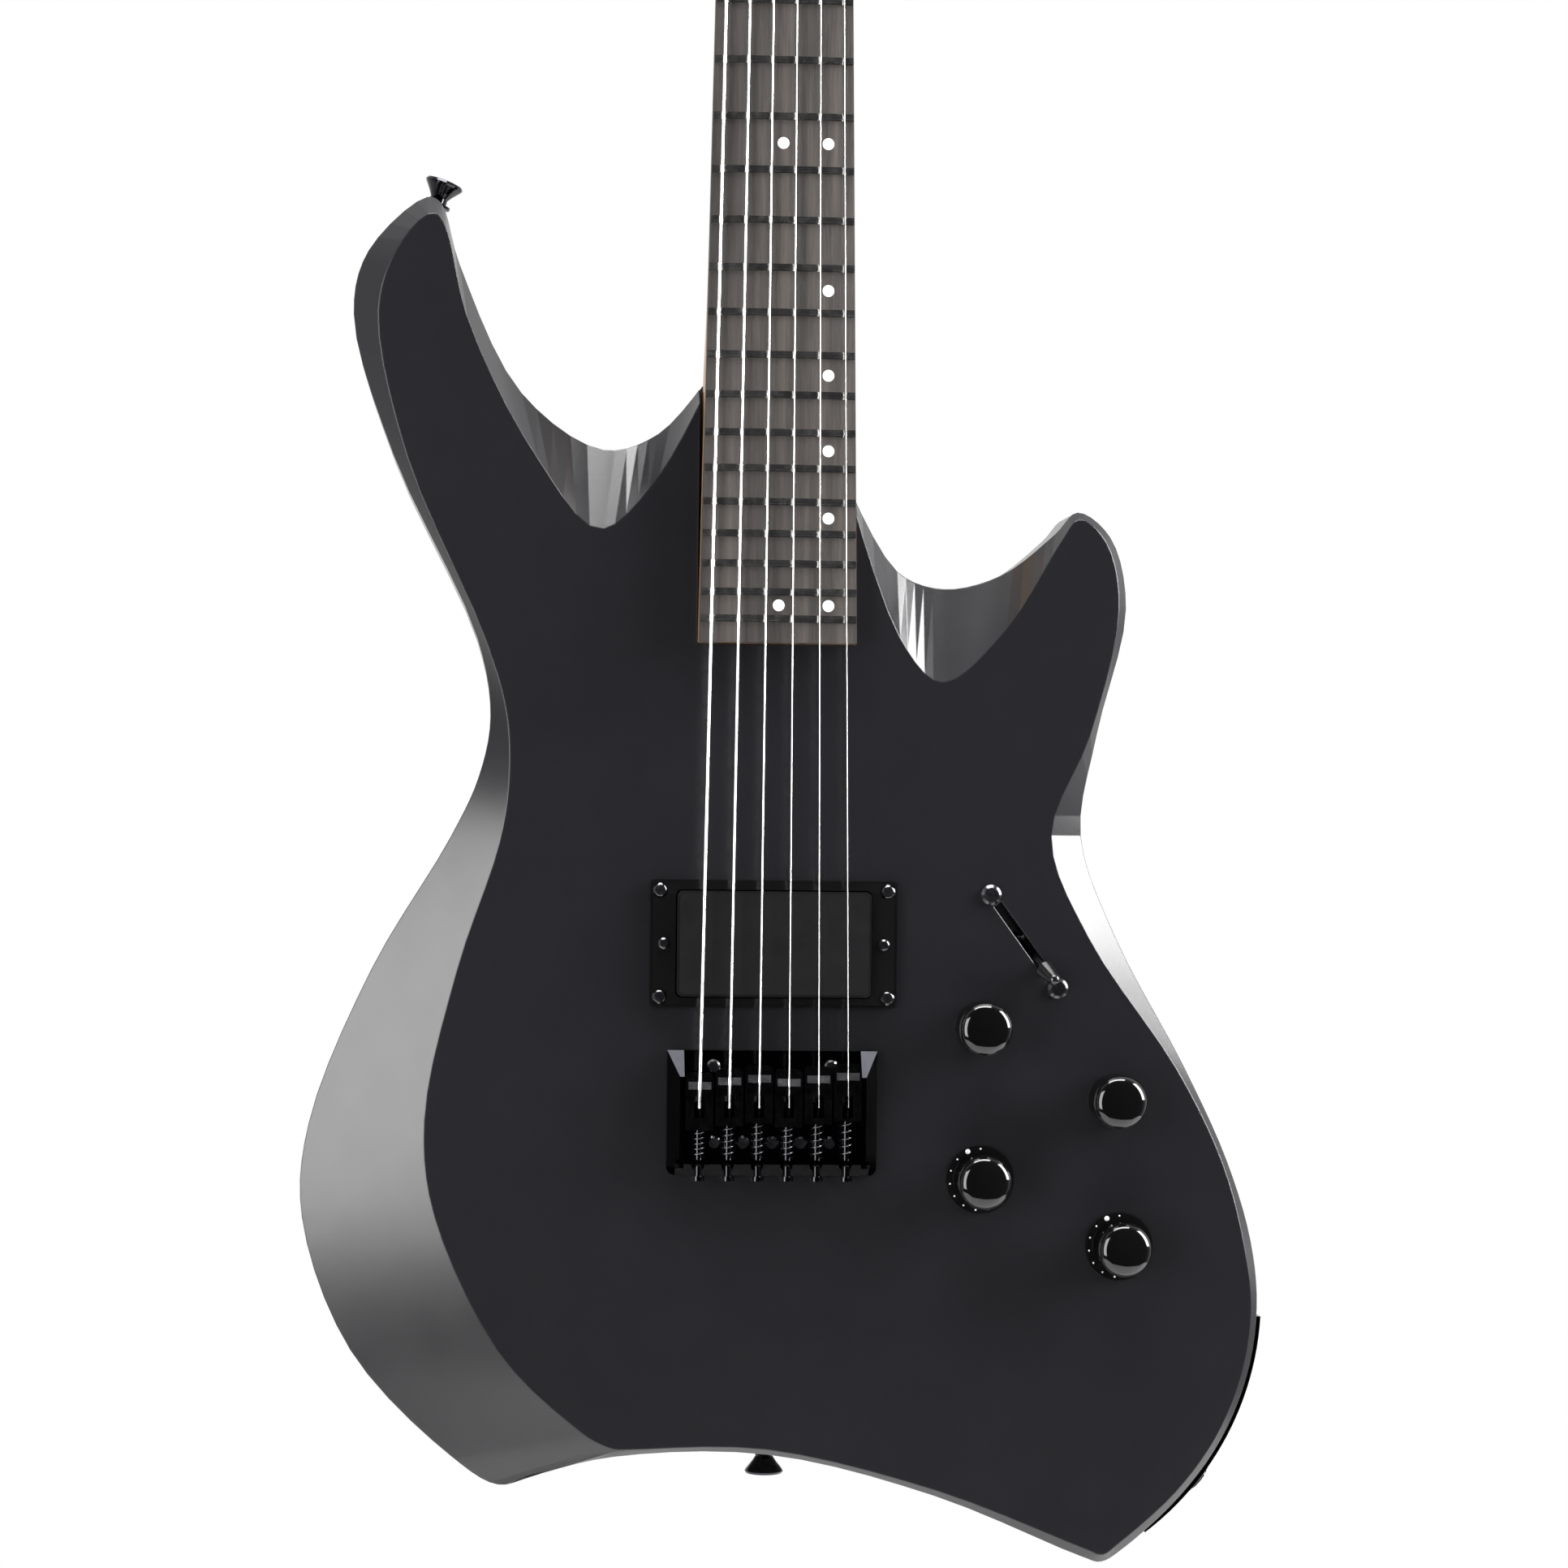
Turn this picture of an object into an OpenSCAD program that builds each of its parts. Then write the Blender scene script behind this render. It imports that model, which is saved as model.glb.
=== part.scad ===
// Electric guitar: 24-fret hardtail with one ring-mounted pickup, six piezo saddles,
// five-way blade selector, four knobs and a side-mounted output plate.
// Millimetres. +X treble side, front face toward -Y, +Z up along the neck.
// Origin: seat of the lower strap button, on the centre line, mid body thickness.

/* [Scale length and neck] */
// vibrating string length, nut to the theoretical bridge line
scale_length = 647.7; // [628:0.1:660]
// height of the theoretical bridge line above the lower strap button
bridge_line = 140; // [138:0.5:142]
// number of frets
fret_count = 24; // [12:1:24]
// width of the fretboard at the nut
nut_width = 41.5; // [40:0.5:44]
// width of the fretboard at its body end
heel_width = 57; // [56:0.25:58]
// thickness of the fretboard at its centre
board_thick = 6; // [5:0.25:7]
// crown radius of fretboard, frets and string set
board_radius = 305; // [240:1:500]
// depth of the neck behind the fretboard at the nut
neck_depth = 14; // [12:0.5:16]

/* [Body] */
// thickness of the body
body_thick = 43; // [42:0.5:45]
// depth of the neck pocket below the front face
pocket_depth = 16; // [14:0.5:18]
// thickness of wood left over the control cavity
top_wall = 5; // [4:0.25:5.5]
// spline steps between two outline points
outline_steps = 5; // [3:1:5]

/* [Strings] */
// width of the string set at the bridge
string_spread_bridge = 53.3; // [52:0.1:54]
// width of the string set at the nut
string_spread_nut = 35.3; // [34:0.1:36]

/* [Pickup] */
// height of the pickup's centre above the strap button
pickup_z = 184.7; // [183:0.1:187]
// length of the mounting ring
ring_length = 89.5; // [89:0.5:91]
// height of the mounting ring
ring_height = 46; // [45:0.5:47]
// length of the pickup cover
cover_length = 70; // [68:0.5:71]
// height of the pickup cover
cover_height = 38; // [36:0.5:38]

/* [Bridge] */
// width of the bridge plate
bridge_width = 76; // [75:0.5:78]
// height of the bridge plate
bridge_height = 45; // [44.5:0.5:46]
// height of the bridge plate's centre above the strap button
bridge_z = 123.7; // [123:0.1:125]
// how far a saddle travels each way for intonation
saddle_travel = 3; // [1:0.5:3]

/* [Controls] */
// distance of the two inner knobs from the centre line
inner_knob_x = 76; // [74:0.5:78]
// height of the volume knob above the strap button
volume_z = 155; // [152:0.5:156]
// height of the model knob above the strap button
model_z = 100; // [98:0.5:103]
// distance of the tone knob from the centre line
tone_x = 125; // [122:0.5:126]
// height of the tone knob above the strap button
tone_z = 129; // [127:0.5:131]
// distance of the tuning knob from the centre line
tuning_x = 127; // [124:0.5:130]
// height of the tuning knob above the strap button
tuning_z = 76; // [74:0.5:78]
// height of a knob
knob_height = 17.5; // [15:0.5:20]
// distance of the selector's middle from the centre line
switch_x = 91.5; // [90:0.5:92]
// height of the selector's middle above the strap button
switch_z = 186.3; // [185:0.1:187]
// slant of the selector slot from the string direction
switch_slant = 36.2; // [34:0.1:38]
// swing of the selector lever to each side of its middle
switch_swing = 34; // [28:1:34]

/* [Preview] */
// which sub-part to draw

/* [Hidden] */

$fn = 40;
eps = 0.02;
front = -body_thick / 2;
back = body_thick / 2;
// glue plane between neck and fretboard, fretboard crown, and fret tops
neck_front = front - 4;
board_top = neck_front - board_thick;
fret_crown = 1.0;
fret_width = 2.6;
// the fretboard ends this far beyond the last fret
board_overhang = 8.6;
nut_z = bridge_line + scale_length;
function fret_z(n) = bridge_line + scale_length * pow(2, -n / 12);
board_end = fret_z(24) - board_overhang;
function board_w(z) = nut_width + (heel_width - nut_width) * (nut_z - z) / (nut_z - board_end);

// strings, bass to treble
string_d = [1.17, 0.91, 0.66, 0.43, 0.33, 0.25];
string_setback = [6.0, 4.3, 3.3, 4.6, 3.4, 2.4];
// undersides of the strings at the nut and at the saddles
string_y_nut = board_top - fret_crown - 0.5;
string_y_saddle = board_top - 4.1;
function string_half(z) = (string_spread_bridge
    + (string_spread_nut - string_spread_bridge) * (z - bridge_line) / scale_length) / 2;
function string_x(i, z) = string_half(z) * (2 * i / 5 - 1);
function crown(x) = x * x / (2 * board_radius);
function saddle_z(i) = bridge_line - string_setback[i];
function saddle_y(i) = string_y_saddle - string_d[i] / 2 + crown(string_x(i, bridge_line));
function nut_y(i) = string_y_nut - string_d[i] / 2 + crown(string_x(i, nut_z));

// headstock and tuners
head_front = front - 0.5;
head_thick = 14;
head_back = head_front + head_thick;
tuner_pitch = 24;
first_post = 27;
head_slant = 15.3;
function post_z(i) = nut_z + first_post + i * tuner_pitch;
function post_x(i) = string_x(i, post_z(i));
post_wrap_y = head_front - 7;

// lower right side of the body is an arc; the output plate is bent to it
side_arc_at = [75, 55.5];
side_arc_r = 103.4;
side_bevel = 2.5;
function on_side_arc(a, r) = side_arc_at + r * [cos(a), sin(a)];
function side_row(a) = concat(on_side_arc(a, side_arc_r), on_side_arc(a, side_arc_r - side_bevel), [2]);

// body outline, clockwise from the bass side of the neck joint:
// [edge x, edge z, crease x, crease z, drop of the bevel below the front face]
upper_horn = [
    [-27, 388, -27, 384, 6],
    [-43, 370, -43, 354, 13],
    [-63, 364, -63, 334, 15],
    [-93, 384, -87, 359, 13],
    [-116, 430, -113, 410, 9],
    [-123, 452, -121, 442, 8],
    [-128, 454, -125, 447, 8],
    [-149, 434, -139, 433, 8],
    [-154, 411, -145, 411, 8],
    [-139, 360, -134, 359, 5]];
left_side = [
    [-108, 294, -105, 293, 4],
    [-103, 266, -97, 266, 5],
    [-107, 244, -96, 243, 7],
    [-117, 222, -99, 221, 9],
    [-145, 174, -114, 174, 12],
    [-167, 118, -125, 120, 14],
    [-169, 84, -121, 86, 14],
    [-151, 36, -98, 38, 14],
    [-114, -2, -67, 8, 11]];
tail = [
    [-97, -12, -58, 3, 10],
    [-84, -8, -54, 2, 6],
    [-56, -1, -50, 2, 3],
    [0, 0, 0, 2, 2],
    [61, -15, 62, -13, 2],
    [115, -37, 116, -34, 2],
    [122, -39, 122, -36, 3],
    [130, -34, 128, -32, 2]];
right_side = [
    [176, 78, 173, 77, 3],
    [167, 107, 165, 106, 3],
    [151, 141, 148, 140, 3],
    [126, 188, 115, 188, 8],
    [113, 225, 101, 225, 9],
    [118, 262, 115, 262, 5],
    [128, 308, 125, 308, 3]];
lower_horn = [
    [122, 334, 120, 332, 3],
    [110, 343, 110, 340, 4],
    [102, 335, 103, 331, 6],
    [83, 320, 84, 300, 11],
    [62, 315, 61, 280, 15],
    [45, 321, 45, 296, 13],
    [27, 350, 27, 346, 6]];
outline = concat(upper_horn, left_side, tail, [for (a = [-43 : 14 : -1]) side_row(a)], right_side, lower_horn);
edge_round = 2.5;

// smooth curve through the outline rows, then a bowed line across the heel of the neck
heel_steps = 3;
heel_bow = 8;
rows = len(outline);
function row(i) = outline[max(0, min(rows - 1, i))];
// spline that allows for uneven spacing: "stride" is the square root of the distance between two rows
function stride(a, b) = max(1e-6, sqrt(norm([b[0] - a[0], b[1] - a[1]])));
function lean(a, b, c) = let (s = stride(a, b), t = stride(b, c)) ((b - a) * t / s + (c - b) * s / t) / (s + t);
function blend4(a, b, c, d, t) = let (h = stride(b, c), u = t * t, v = t * t * t)
    (2 * v - 3 * u + 1) * b + (v - 2 * u + t) * h * lean(a, b, c)
    + (3 * u - 2 * v) * c + (v - u) * h * lean(b, c, d);
ring_pts = concat([for (i = [0 : rows - 2]) for (k = [0 : outline_steps - 1])
    blend4(row(i - 1), row(i), row(i + 1), row(i + 2), k / outline_steps)],
    [for (k = [0 : heel_steps]) let (t = k / (heel_steps + 1), b = heel_bow * sin(180 * t))
        row(rows - 1) * (1 - t) + row(0) * t + b * [0.58, 0.81, 0.58, 0.81, 0]]);
ring_n = len(ring_pts);
function unit2(v) = v / max(1e-6, norm(v));
plate_thick = 2.2;
plate_from = -53;
plate_to = -3;
plate_half = 16;
jack_angle = -38;
socket_angle = -14;

knob_r = 9.8;
shaft_r = 3;
ring_r = 12.3;
pivot_y = front + 16;
lever_len = 32;
tip_len = 10;
tip_r = 2.3;

module along_y(x, z, y) { translate([x, y, z]) rotate([-90, 0, 0]) children(); }
module rod(p, q, r) {
    v = q - p;
    translate(p)
        rotate([0, acos(v[2] / norm(v)), atan2(v[1], v[0])]) cylinder(r = r, h = norm(v), $fn = 24);
}
module slab(x0, x1, y0, y1, z0, z1) {
    translate([x0, y0, z0]) cube([x1 - x0, y1 - y0, z1 - z0]);
}
module plate_xz(pts, y0, y1) {
    translate([0, y1, 0]) rotate([90, 0, 0]) linear_extrude(y1 - y0) polygon(pts);
}
// countersunk or domed wood screw: head on the face at y, shank going into +Y
module screw(x, z, y, head_r, head_h, shank_r, len) {
    difference() {
        along_y(x, z, y - head_h) union() {
            cylinder(r1 = head_r * 0.72, r2 = head_r, h = head_h * 0.6);
            translate([0, 0, head_h * 0.6]) cylinder(r = head_r, h = head_h * 0.4);
            translate([0, 0, head_h - eps]) cylinder(r = shank_r, h = len, $fn = 20);
        }
        for (a = [0, 90])
            along_y(x, z, y - head_h) rotate([0, 0, a + 20])
                translate([-head_r * 0.55, -head_r * 0.11, -1])
                    cube([head_r * 1.1, head_r * 0.22, 1 + head_h * 0.55]);
    }
}
// the same screw seen from the back face
module screw_back(x, z, y, head_r, head_h, shank_r, len) {
    translate([0, y, 0]) mirror([0, 1, 0]) screw(x, z, 0, head_r, head_h, shank_r, len);
}

control_cavity = [[56, 211], [97, 211], [109, 183], [124, 160], [140, 138], [153, 110],
    [158, 80], [156, 45], [142, 22], [118, 12], [100, 30], [92, 58], [56, 75]];
control_lid = [[51, 217], [100, 217], [114, 185], [128, 163], [144, 141], [158, 112],
    [163, 80], [161, 43], [145, 17], [117, 6], [96, 26], [88, 53], [51, 70]];
lid_screws = [[58, 213.8], [95, 213.8], [146, 133], [160.5, 62], [143, 19], [117, 9], [92, 51], [53.6, 130]];
battery_box = [-78, -12, 42, 76];
battery_lid = [-84, -6, 36, 82];
battery_screws = [[-81, 39], [-9, 39], [-81, 79], [-9, 79]];
lid_thick = 2.4;
cavity_front = front + top_wall;
battery_depth = 27;
bolt_at = [[-18, 303], [18, 303], [-18, 331], [18, 331]];
bridge_front_screws = [[-21.3, bridge_z + 16.9], [21.3, bridge_z + 16.9]];
bridge_rear_screws = [for (i = [-2 : 2]) [i * 10.45, bridge_z - 10.9]];
ring_screws = [[-41.2, pickup_z + 19.2], [41.2, pickup_z + 19.2], [-41.2, pickup_z - 19.2],
    [41.2, pickup_z - 19.2]];
height_screws = [[-39.8, pickup_z], [39.8, pickup_z]];
hole_z = bridge_z + 2.8;
switch_at = [switch_x, switch_z];
switch_screw_gap = 20.9;
function slot_dir() = [sin(switch_slant), -cos(switch_slant)];
switch_screw_at = [for (s = [-1, 1]) [switch_at[0] + s * slot_dir()[0] * switch_screw_gap,
    switch_at[1] + s * slot_dir()[1] * switch_screw_gap]];
knob_volume_at = [inner_knob_x, volume_z];
knob_tone_at = [tone_x, tone_z];
knob_model_at = [inner_knob_x, model_z];
knob_tuning_at = [tuning_x, tuning_z];
knobs_at = [knob_volume_at, knob_tone_at, knob_model_at, knob_tuning_at];

// splits a simple counterclockwise polygon into triangles by cutting off one corner at a time
function turn(a, b, c) = (b[0] - a[0]) * (c[1] - a[1]) - (b[1] - a[1]) * (c[0] - a[0]);
function holds(a, b, c, p) = turn(a, b, p) >= 0 && turn(b, c, p) >= 0 && turn(c, a, p) >= 0;
function free_corner(pts, ids, k) = let (n = len(ids), a = pts[ids[(k + n - 1) % n]],
        b = pts[ids[k % n]], c = pts[ids[(k + 1) % n]])
    turn(a, b, c) > 1e-6 && len([for (j = [2 : n - 2]) if (holds(a, b, c, pts[ids[(k + j) % n]])) j]) == 0;
function next_corner(pts, ids, k) = k > 2 * len(ids) || free_corner(pts, ids, k) ? k
    : next_corner(pts, ids, k + 1);
function triangles(pts, ids, done = []) = len(ids) < 4 ? concat(done, [ids])
    : let (n = len(ids), k = next_corner(pts, ids, 1))
        triangles(pts, [for (j = [1 : n - 1]) ids[(k + j) % n]],
            concat(done, [[ids[(k + n - 1) % n], ids[k % n], ids[(k + 1) % n]]]));

// body blank in four rings: back face, back edge, front edge, crease of the front bevels
function xz(v, y) = [v[0], y, v[1]];
function edge_of(p) = [p[0], p[1]];
function crease_of(p) = [p[2], p[3]];
function round_of(p) = edge_of(p) + edge_round * unit2(crease_of(p) - edge_of(p));
module body_blank() {
    n = ring_n;
    order = [for (i = [0 : n - 1]) i];
    back_face = [for (p = ring_pts) round_of(p)];
    front_face = [for (p = ring_pts) crease_of(p)];
    pts = concat(
        [for (v = back_face) xz(v, back)],
        [for (p = ring_pts) xz(edge_of(p), back - edge_round)],
        [for (p = ring_pts) xz(edge_of(p), front + p[4])],
        [for (v = front_face) xz(v, front)]);
    walls = [for (r = [0 : 2]) for (i = order) let (j = (i + 1) % n)
        each [[r * n + i, (r + 1) * n + j, r * n + j], [r * n + i, (r + 1) * n + i, (r + 1) * n + j]]];
    front_cap = [for (t = triangles(front_face, order)) [3 * n + t[2], 3 * n + t[1], 3 * n + t[0]]];
    polyhedron(pts, concat(walls, triangles(back_face, order), front_cap), convexity = 10);
}

module body() {
    color([0.09, 0.09, 0.1]) difference() {
        body_blank();
        // neck pocket and bolt holes
        slab(-heel_width / 2 - 0.15, heel_width / 2 + 0.15, front - 20, front + pocket_depth,
            board_end - 0.15, board_end + 130);
        for (p = bolt_at)
            along_y(p[0], p[1], front + pocket_depth - 1) cylinder(r = 2.6, h = body_thick, $fn = 20);
        for (p = bolt_at)
            along_y(p[0], p[1], back - 3) cylinder(r = 7.2, h = 5);
        // pickup cavity
        slab(-37, 37, front - 20, front + 20, pickup_z - 20.5, pickup_z + 20.5);
        slab(-43, 43, front - 20, front + 20, pickup_z - 5, pickup_z + 5);
        for (p = ring_screws)
            along_y(p[0], p[1], front - 1) cylinder(r = 1.3, h = 12, $fn = 16);
        // strings through the body
        for (i = [0 : 5]) {
            along_y(string_x(i, hole_z), hole_z, front - 1) cylinder(r = 1.6, h = body_thick + 2, $fn = 20);
            along_y(string_x(i, hole_z), hole_z, back - 8) cylinder(r = 4.2, h = 9);
        }
        for (p = concat(bridge_front_screws, bridge_rear_screws))
            along_y(p[0], p[1], front - 1) cylinder(r = 1.5, h = 22, $fn = 16);
        // control cavity with its lid recess
        plate_xz(control_cavity, cavity_front, back + 1);
        plate_xz(control_lid, back - lid_thick - 0.1, back + 1);
        for (p = lid_screws)
            along_y(p[0], p[1], back - 14) cylinder(r = 1.2, h = 15, $fn = 16);
        for (p = knobs_at)
            along_y(p[0], p[1], front - 1) cylinder(r = 4.2, h = top_wall + 2);
        // selector slot and its screws
        translate([switch_at[0], 0, switch_at[1]]) rotate([0, -switch_slant, 0])
            slab(-1.7, 1.7, front - 1, cavity_front + 1, -16.8, 16.8);
        for (p = switch_screw_at)
            along_y(p[0], p[1], front - 1) cylinder(r = 1.8, h = top_wall + 2, $fn = 20);
        // battery box
        slab(battery_box[0], battery_box[1], back - battery_depth, back + 1, battery_box[2], battery_box[3]);
        slab(battery_lid[0], battery_lid[1], back - lid_thick - 0.1, back + 1, battery_lid[2], battery_lid[3]);
        for (p = battery_screws)
            along_y(p[0], p[1], back - 14) cylinder(r = 1.2, h = 15, $fn = 16);
        // wiring channels
        rod([40, front + 14, pickup_z], [70, front + 14, pickup_z - 12], 3.5);
        rod([-14, back - 14, 66], [62, back - 14, 96], 3.5);
        // seat of the output plate, jack bore and socket bore
        plate_xz(arc_band(side_arc_r, side_arc_r + 20, 0.1), -plate_half - 0.1, plate_half + 0.1);
        side_at(jack_angle) cylinder(r = 11.5, h = 52, center = false);
        side_at(socket_angle) translate([-9, -7.5, 0]) cube([18, 15, 40]);
        for (a = [plate_from + 2.6, plate_to - 2.6])
            side_at(a) cylinder(r = 1.2, h = 16, $fn = 16);
        // flat seats and pilot holes of the strap buttons
        translate([0, 0, -8]) cylinder(r = 5.4, h = 8);
        translate([0, 0, -3]) cylinder(r = 1.5, h = 26, $fn = 16);
        horn_button() cylinder(r = 5.4, h = 8);
        horn_button() translate([0, 0, -26]) cylinder(r = 1.5, h = 27, $fn = 16);
    }
}

// band between two radii of the side arc, a little longer than the plate by "more" degrees
arc_facets = 24;
function arc_pts(r, more) = [for (k = [0 : arc_facets])
    let (a = plate_from - more + (plate_to - plate_from + 2 * more) * k / arc_facets)
    side_arc_at + r * [cos(a), sin(a)]];
function arc_band(r0, r1, more) = let (i = arc_pts(r0, more), o = arc_pts(r1, more))
    concat(o, [for (k = [arc_facets : -1 : 0]) i[k]]);
// local frame on the side arc: z runs from the seat toward the arc's centre
module side_at(a) {
    translate([side_arc_at[0], 0, side_arc_at[1]]) rotate([0, -a, 0])
        translate([side_arc_r, 0, 0]) rotate([0, -90, 0]) rotate([0, 0, 90]) children();
}
module horn_button() {
    translate([-125, 0, 452.6]) rotate([0, 20, 0]) children();
}

// neck: superellipse sections, square in the pocket and rounded along the playing length
pocket_floor = front + pocket_depth;
neck_sections = [
    [board_end + 0.1, pocket_floor, 0.06],
    [372, pocket_floor, 0.06],
    [392, pocket_floor - 0.4, 0.12],
    [404, pocket_floor - 2.4, 0.3],
    [418, neck_front + neck_depth + 1.6, 0.55],
    [440, neck_front + neck_depth + 1.2, 0.72],
    [620, neck_front + neck_depth + 0.6, 0.78],
    [770, neck_front + neck_depth, 0.78],
    [nut_z + 4.3, neck_front + neck_depth + 1.2, 0.65],
    [nut_z + 9, head_back - 0.6, 0.4]];
neck_facets = 24;
module neck_shaft() {
    m = neck_facets + 1;
    s = len(neck_sections);
    pts = [for (k = [0 : s - 1]) for (i = [0 : neck_facets])
        let (z = neck_sections[k][0], w = min(board_w(z), heel_width), t = 180 * i / neck_facets,
            e = neck_sections[k][2], d = neck_sections[k][1] - neck_front,
            c = cos(t), q = abs(c) < 1e-6 ? 0 : sign(c) * pow(abs(c), e),
            f = k < s - 1 ? neck_front : head_front)
        [q * w / 2, f + (neck_sections[k][1] - f) * pow(abs(sin(t)) < 1e-6 ? 0 : sin(t), e), z]];
    faces = concat(
        [for (k = [0 : s - 2]) for (i = [0 : m - 1]) let (j = (i + 1) % m)
            [k * m + i, (k + 1) * m + j, k * m + j]],
        [for (k = [0 : s - 2]) for (i = [0 : m - 1]) let (j = (i + 1) % m)
            [k * m + i, (k + 1) * m + i, (k + 1) * m + j]],
        [[for (i = [0 : m - 1]) i]],
        [[for (i = [m - 1 : -1 : 0]) (s - 1) * m + i]]);
    polyhedron(pts, faces, convexity = 6);
}
head_outline = [[-20.6, nut_z + 4], [-24, nut_z + 9], [-31, nut_z + 16], [-31.5, nut_z + 24],
    [3.5, nut_z + 154], [6, nut_z + 170], [13, nut_z + 182], [23, nut_z + 183], [30, nut_z + 174],
    [31, nut_z + 158], [27, nut_z + 110], [24.5, nut_z + 60], [22, nut_z + 20], [20.6, nut_z + 4]];
truss_z = [nut_z + 9.5, nut_z + 33];
truss_y = neck_front + 7.2;
module neck() {
    color([0.3, 0.2, 0.12]) difference() {
        union() {
            neck_shaft();
            plate_xz(head_outline, head_front, head_back);
        }
        slab(-3.1, 3.1, neck_front - 1, neck_front + 9.6, 320, nut_z + 20);
        slab(-6, 6, head_front - 1, head_front + 7.4, nut_z + 7.5, nut_z + 26);
        for (i = [0 : 5])
            along_y(post_x(i), post_z(i), head_front - 1) cylinder(r = 4.9, h = head_thick + 2);
        for (p = bolt_at)
            along_y(p[0], p[1], neck_front + 5) cylinder(r = 2.1, h = 20, $fn = 20);
    }
}

module fretboard() {
    color([0.15, 0.13, 0.12]) difference() {
        intersection() {
            translate([0, neck_front, 0]) rotate([90, 0, 0]) linear_extrude(board_thick + 1)
                polygon([[-heel_width / 2, board_end], [heel_width / 2, board_end],
                    [nut_width / 2, nut_z], [-nut_width / 2, nut_z]]);
            translate([0, board_top + board_radius, board_end - 1])
                cylinder(r = board_radius, h = nut_z - board_end + 2, $fn = 400);
        }
        for (d = dots) on_crown(d) translate([0, 0, -1]) cylinder(r = 2.15, h = 2.7, $fn = 24);
    }
}
function mid(n) = (fret_z(n) + fret_z(n - 1)) / 2;
// face dots: between the two highest strings, doubled at the octaves
function treble_dot(n) = [string_x(4.35, mid(n)), mid(n)];
function octave_dot(n) = [string_x(2.5, mid(n)), mid(n)];
dots = concat([for (n = [3, 5, 7, 9, 12, 15, 17, 19, 21, 24]) if (n <= fret_count) treble_dot(n)],
    [for (n = [12, 24]) if (n <= fret_count) octave_dot(n)]);
// local frame square to the crown of the fretboard, z going into the wood
module on_crown(d) {
    translate([0, board_top + board_radius, d[1]]) rotate([0, 0, asin(d[0] / board_radius)])
        translate([0, -board_radius, 0]) rotate([-90, 0, 0]) children();
}
module inlays() {
    color([0.92, 0.92, 0.9]) for (d = dots)
        on_crown(d) translate([0, 0, 0.01]) cylinder(r = 2.1, h = 1.6, $fn = 24);
}
module frets() {
    color([0.75, 0.75, 0.77]) for (n = [1 : fret_count])
        intersection() {
            translate([0, board_top + board_radius, fret_z(n)]) difference() {
                union() {
                    translate([0, 0, -fret_width / 2]) cylinder(r = board_radius + fret_crown * 0.55,
                        h = fret_width, $fn = 400);
                    translate([0, 0, -fret_width / 4]) cylinder(r = board_radius + fret_crown,
                        h = fret_width / 2, $fn = 400);
                }
                translate([0, 0, -2]) cylinder(r = board_radius, h = 4, $fn = 400);
            }
            slab(-board_w(fret_z(n)) / 2 + 0.2, board_w(fret_z(n)) / 2 - 0.2, board_top - 4,
                board_top + 5, fret_z(n) - 2, fret_z(n) + 2);
        }
}
nut_thick = 4.2;
nut_slot_gap = 0.12;
function nut_slot(i) = string_d[i] / 2 + nut_slot_gap;
module nut() {
    color([0.16, 0.16, 0.16]) difference() {
        slab(-nut_width / 2, nut_width / 2, string_y_nut - 0.6, neck_front, nut_z, nut_z + nut_thick);
        for (i = [0 : 5])
            rod([string_x(i, nut_z), nut_y(i), nut_z - 2], [string_x(i, nut_z), nut_y(i), nut_z + 8],
                nut_slot(i));
        for (i = [0 : 5])
            translate([string_x(i, nut_z), 0, 0]) slab(-nut_slot(i), nut_slot(i), string_y_nut - 3, nut_y(i), nut_z - 1, nut_z + 6);
    }
}
module truss_rod() {
    color([0.5, 0.5, 0.52]) union() {
        slab(-3, 3, neck_front, neck_front + 9, 322, nut_z + 3.8);
        translate([0, truss_y, nut_z + 3]) cylinder(r = 2.3, h = 8, $fn = 24);
        translate([0, truss_y, nut_z + 9.5]) cylinder(r = 3.2, h = 9, $fn = 6);
    }
}
module truss_cover() {
    color([0.05, 0.05, 0.05]) difference() {
        plate_xz([[-8, truss_z[0]], [8, truss_z[0]], [8, truss_z[1] - 9], [3, truss_z[1]],
            [-3, truss_z[1]], [-8, truss_z[1] - 9]], head_front - 1.8, head_front);
        along_y(0, truss_z[1] - 3, head_front - 3) cylinder(r = 1, h = 4, $fn = 16);
    }
}
module neck_bolts() {
    color([0.1, 0.1, 0.1]) for (p = bolt_at) difference() {
        union() {
            along_y(p[0], p[1], back - 3) cylinder(r = 7, h = 3.6);
            along_y(p[0], p[1], neck_front + 8) cylinder(r = 2, h = back - neck_front - 8);
        }
        for (a = [0, 90])
            along_y(p[0], p[1], back - 0.8) rotate([0, 0, a]) translate([-2.4, -0.5, 0]) cube([4.8, 1, 2]);
    }
}

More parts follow.
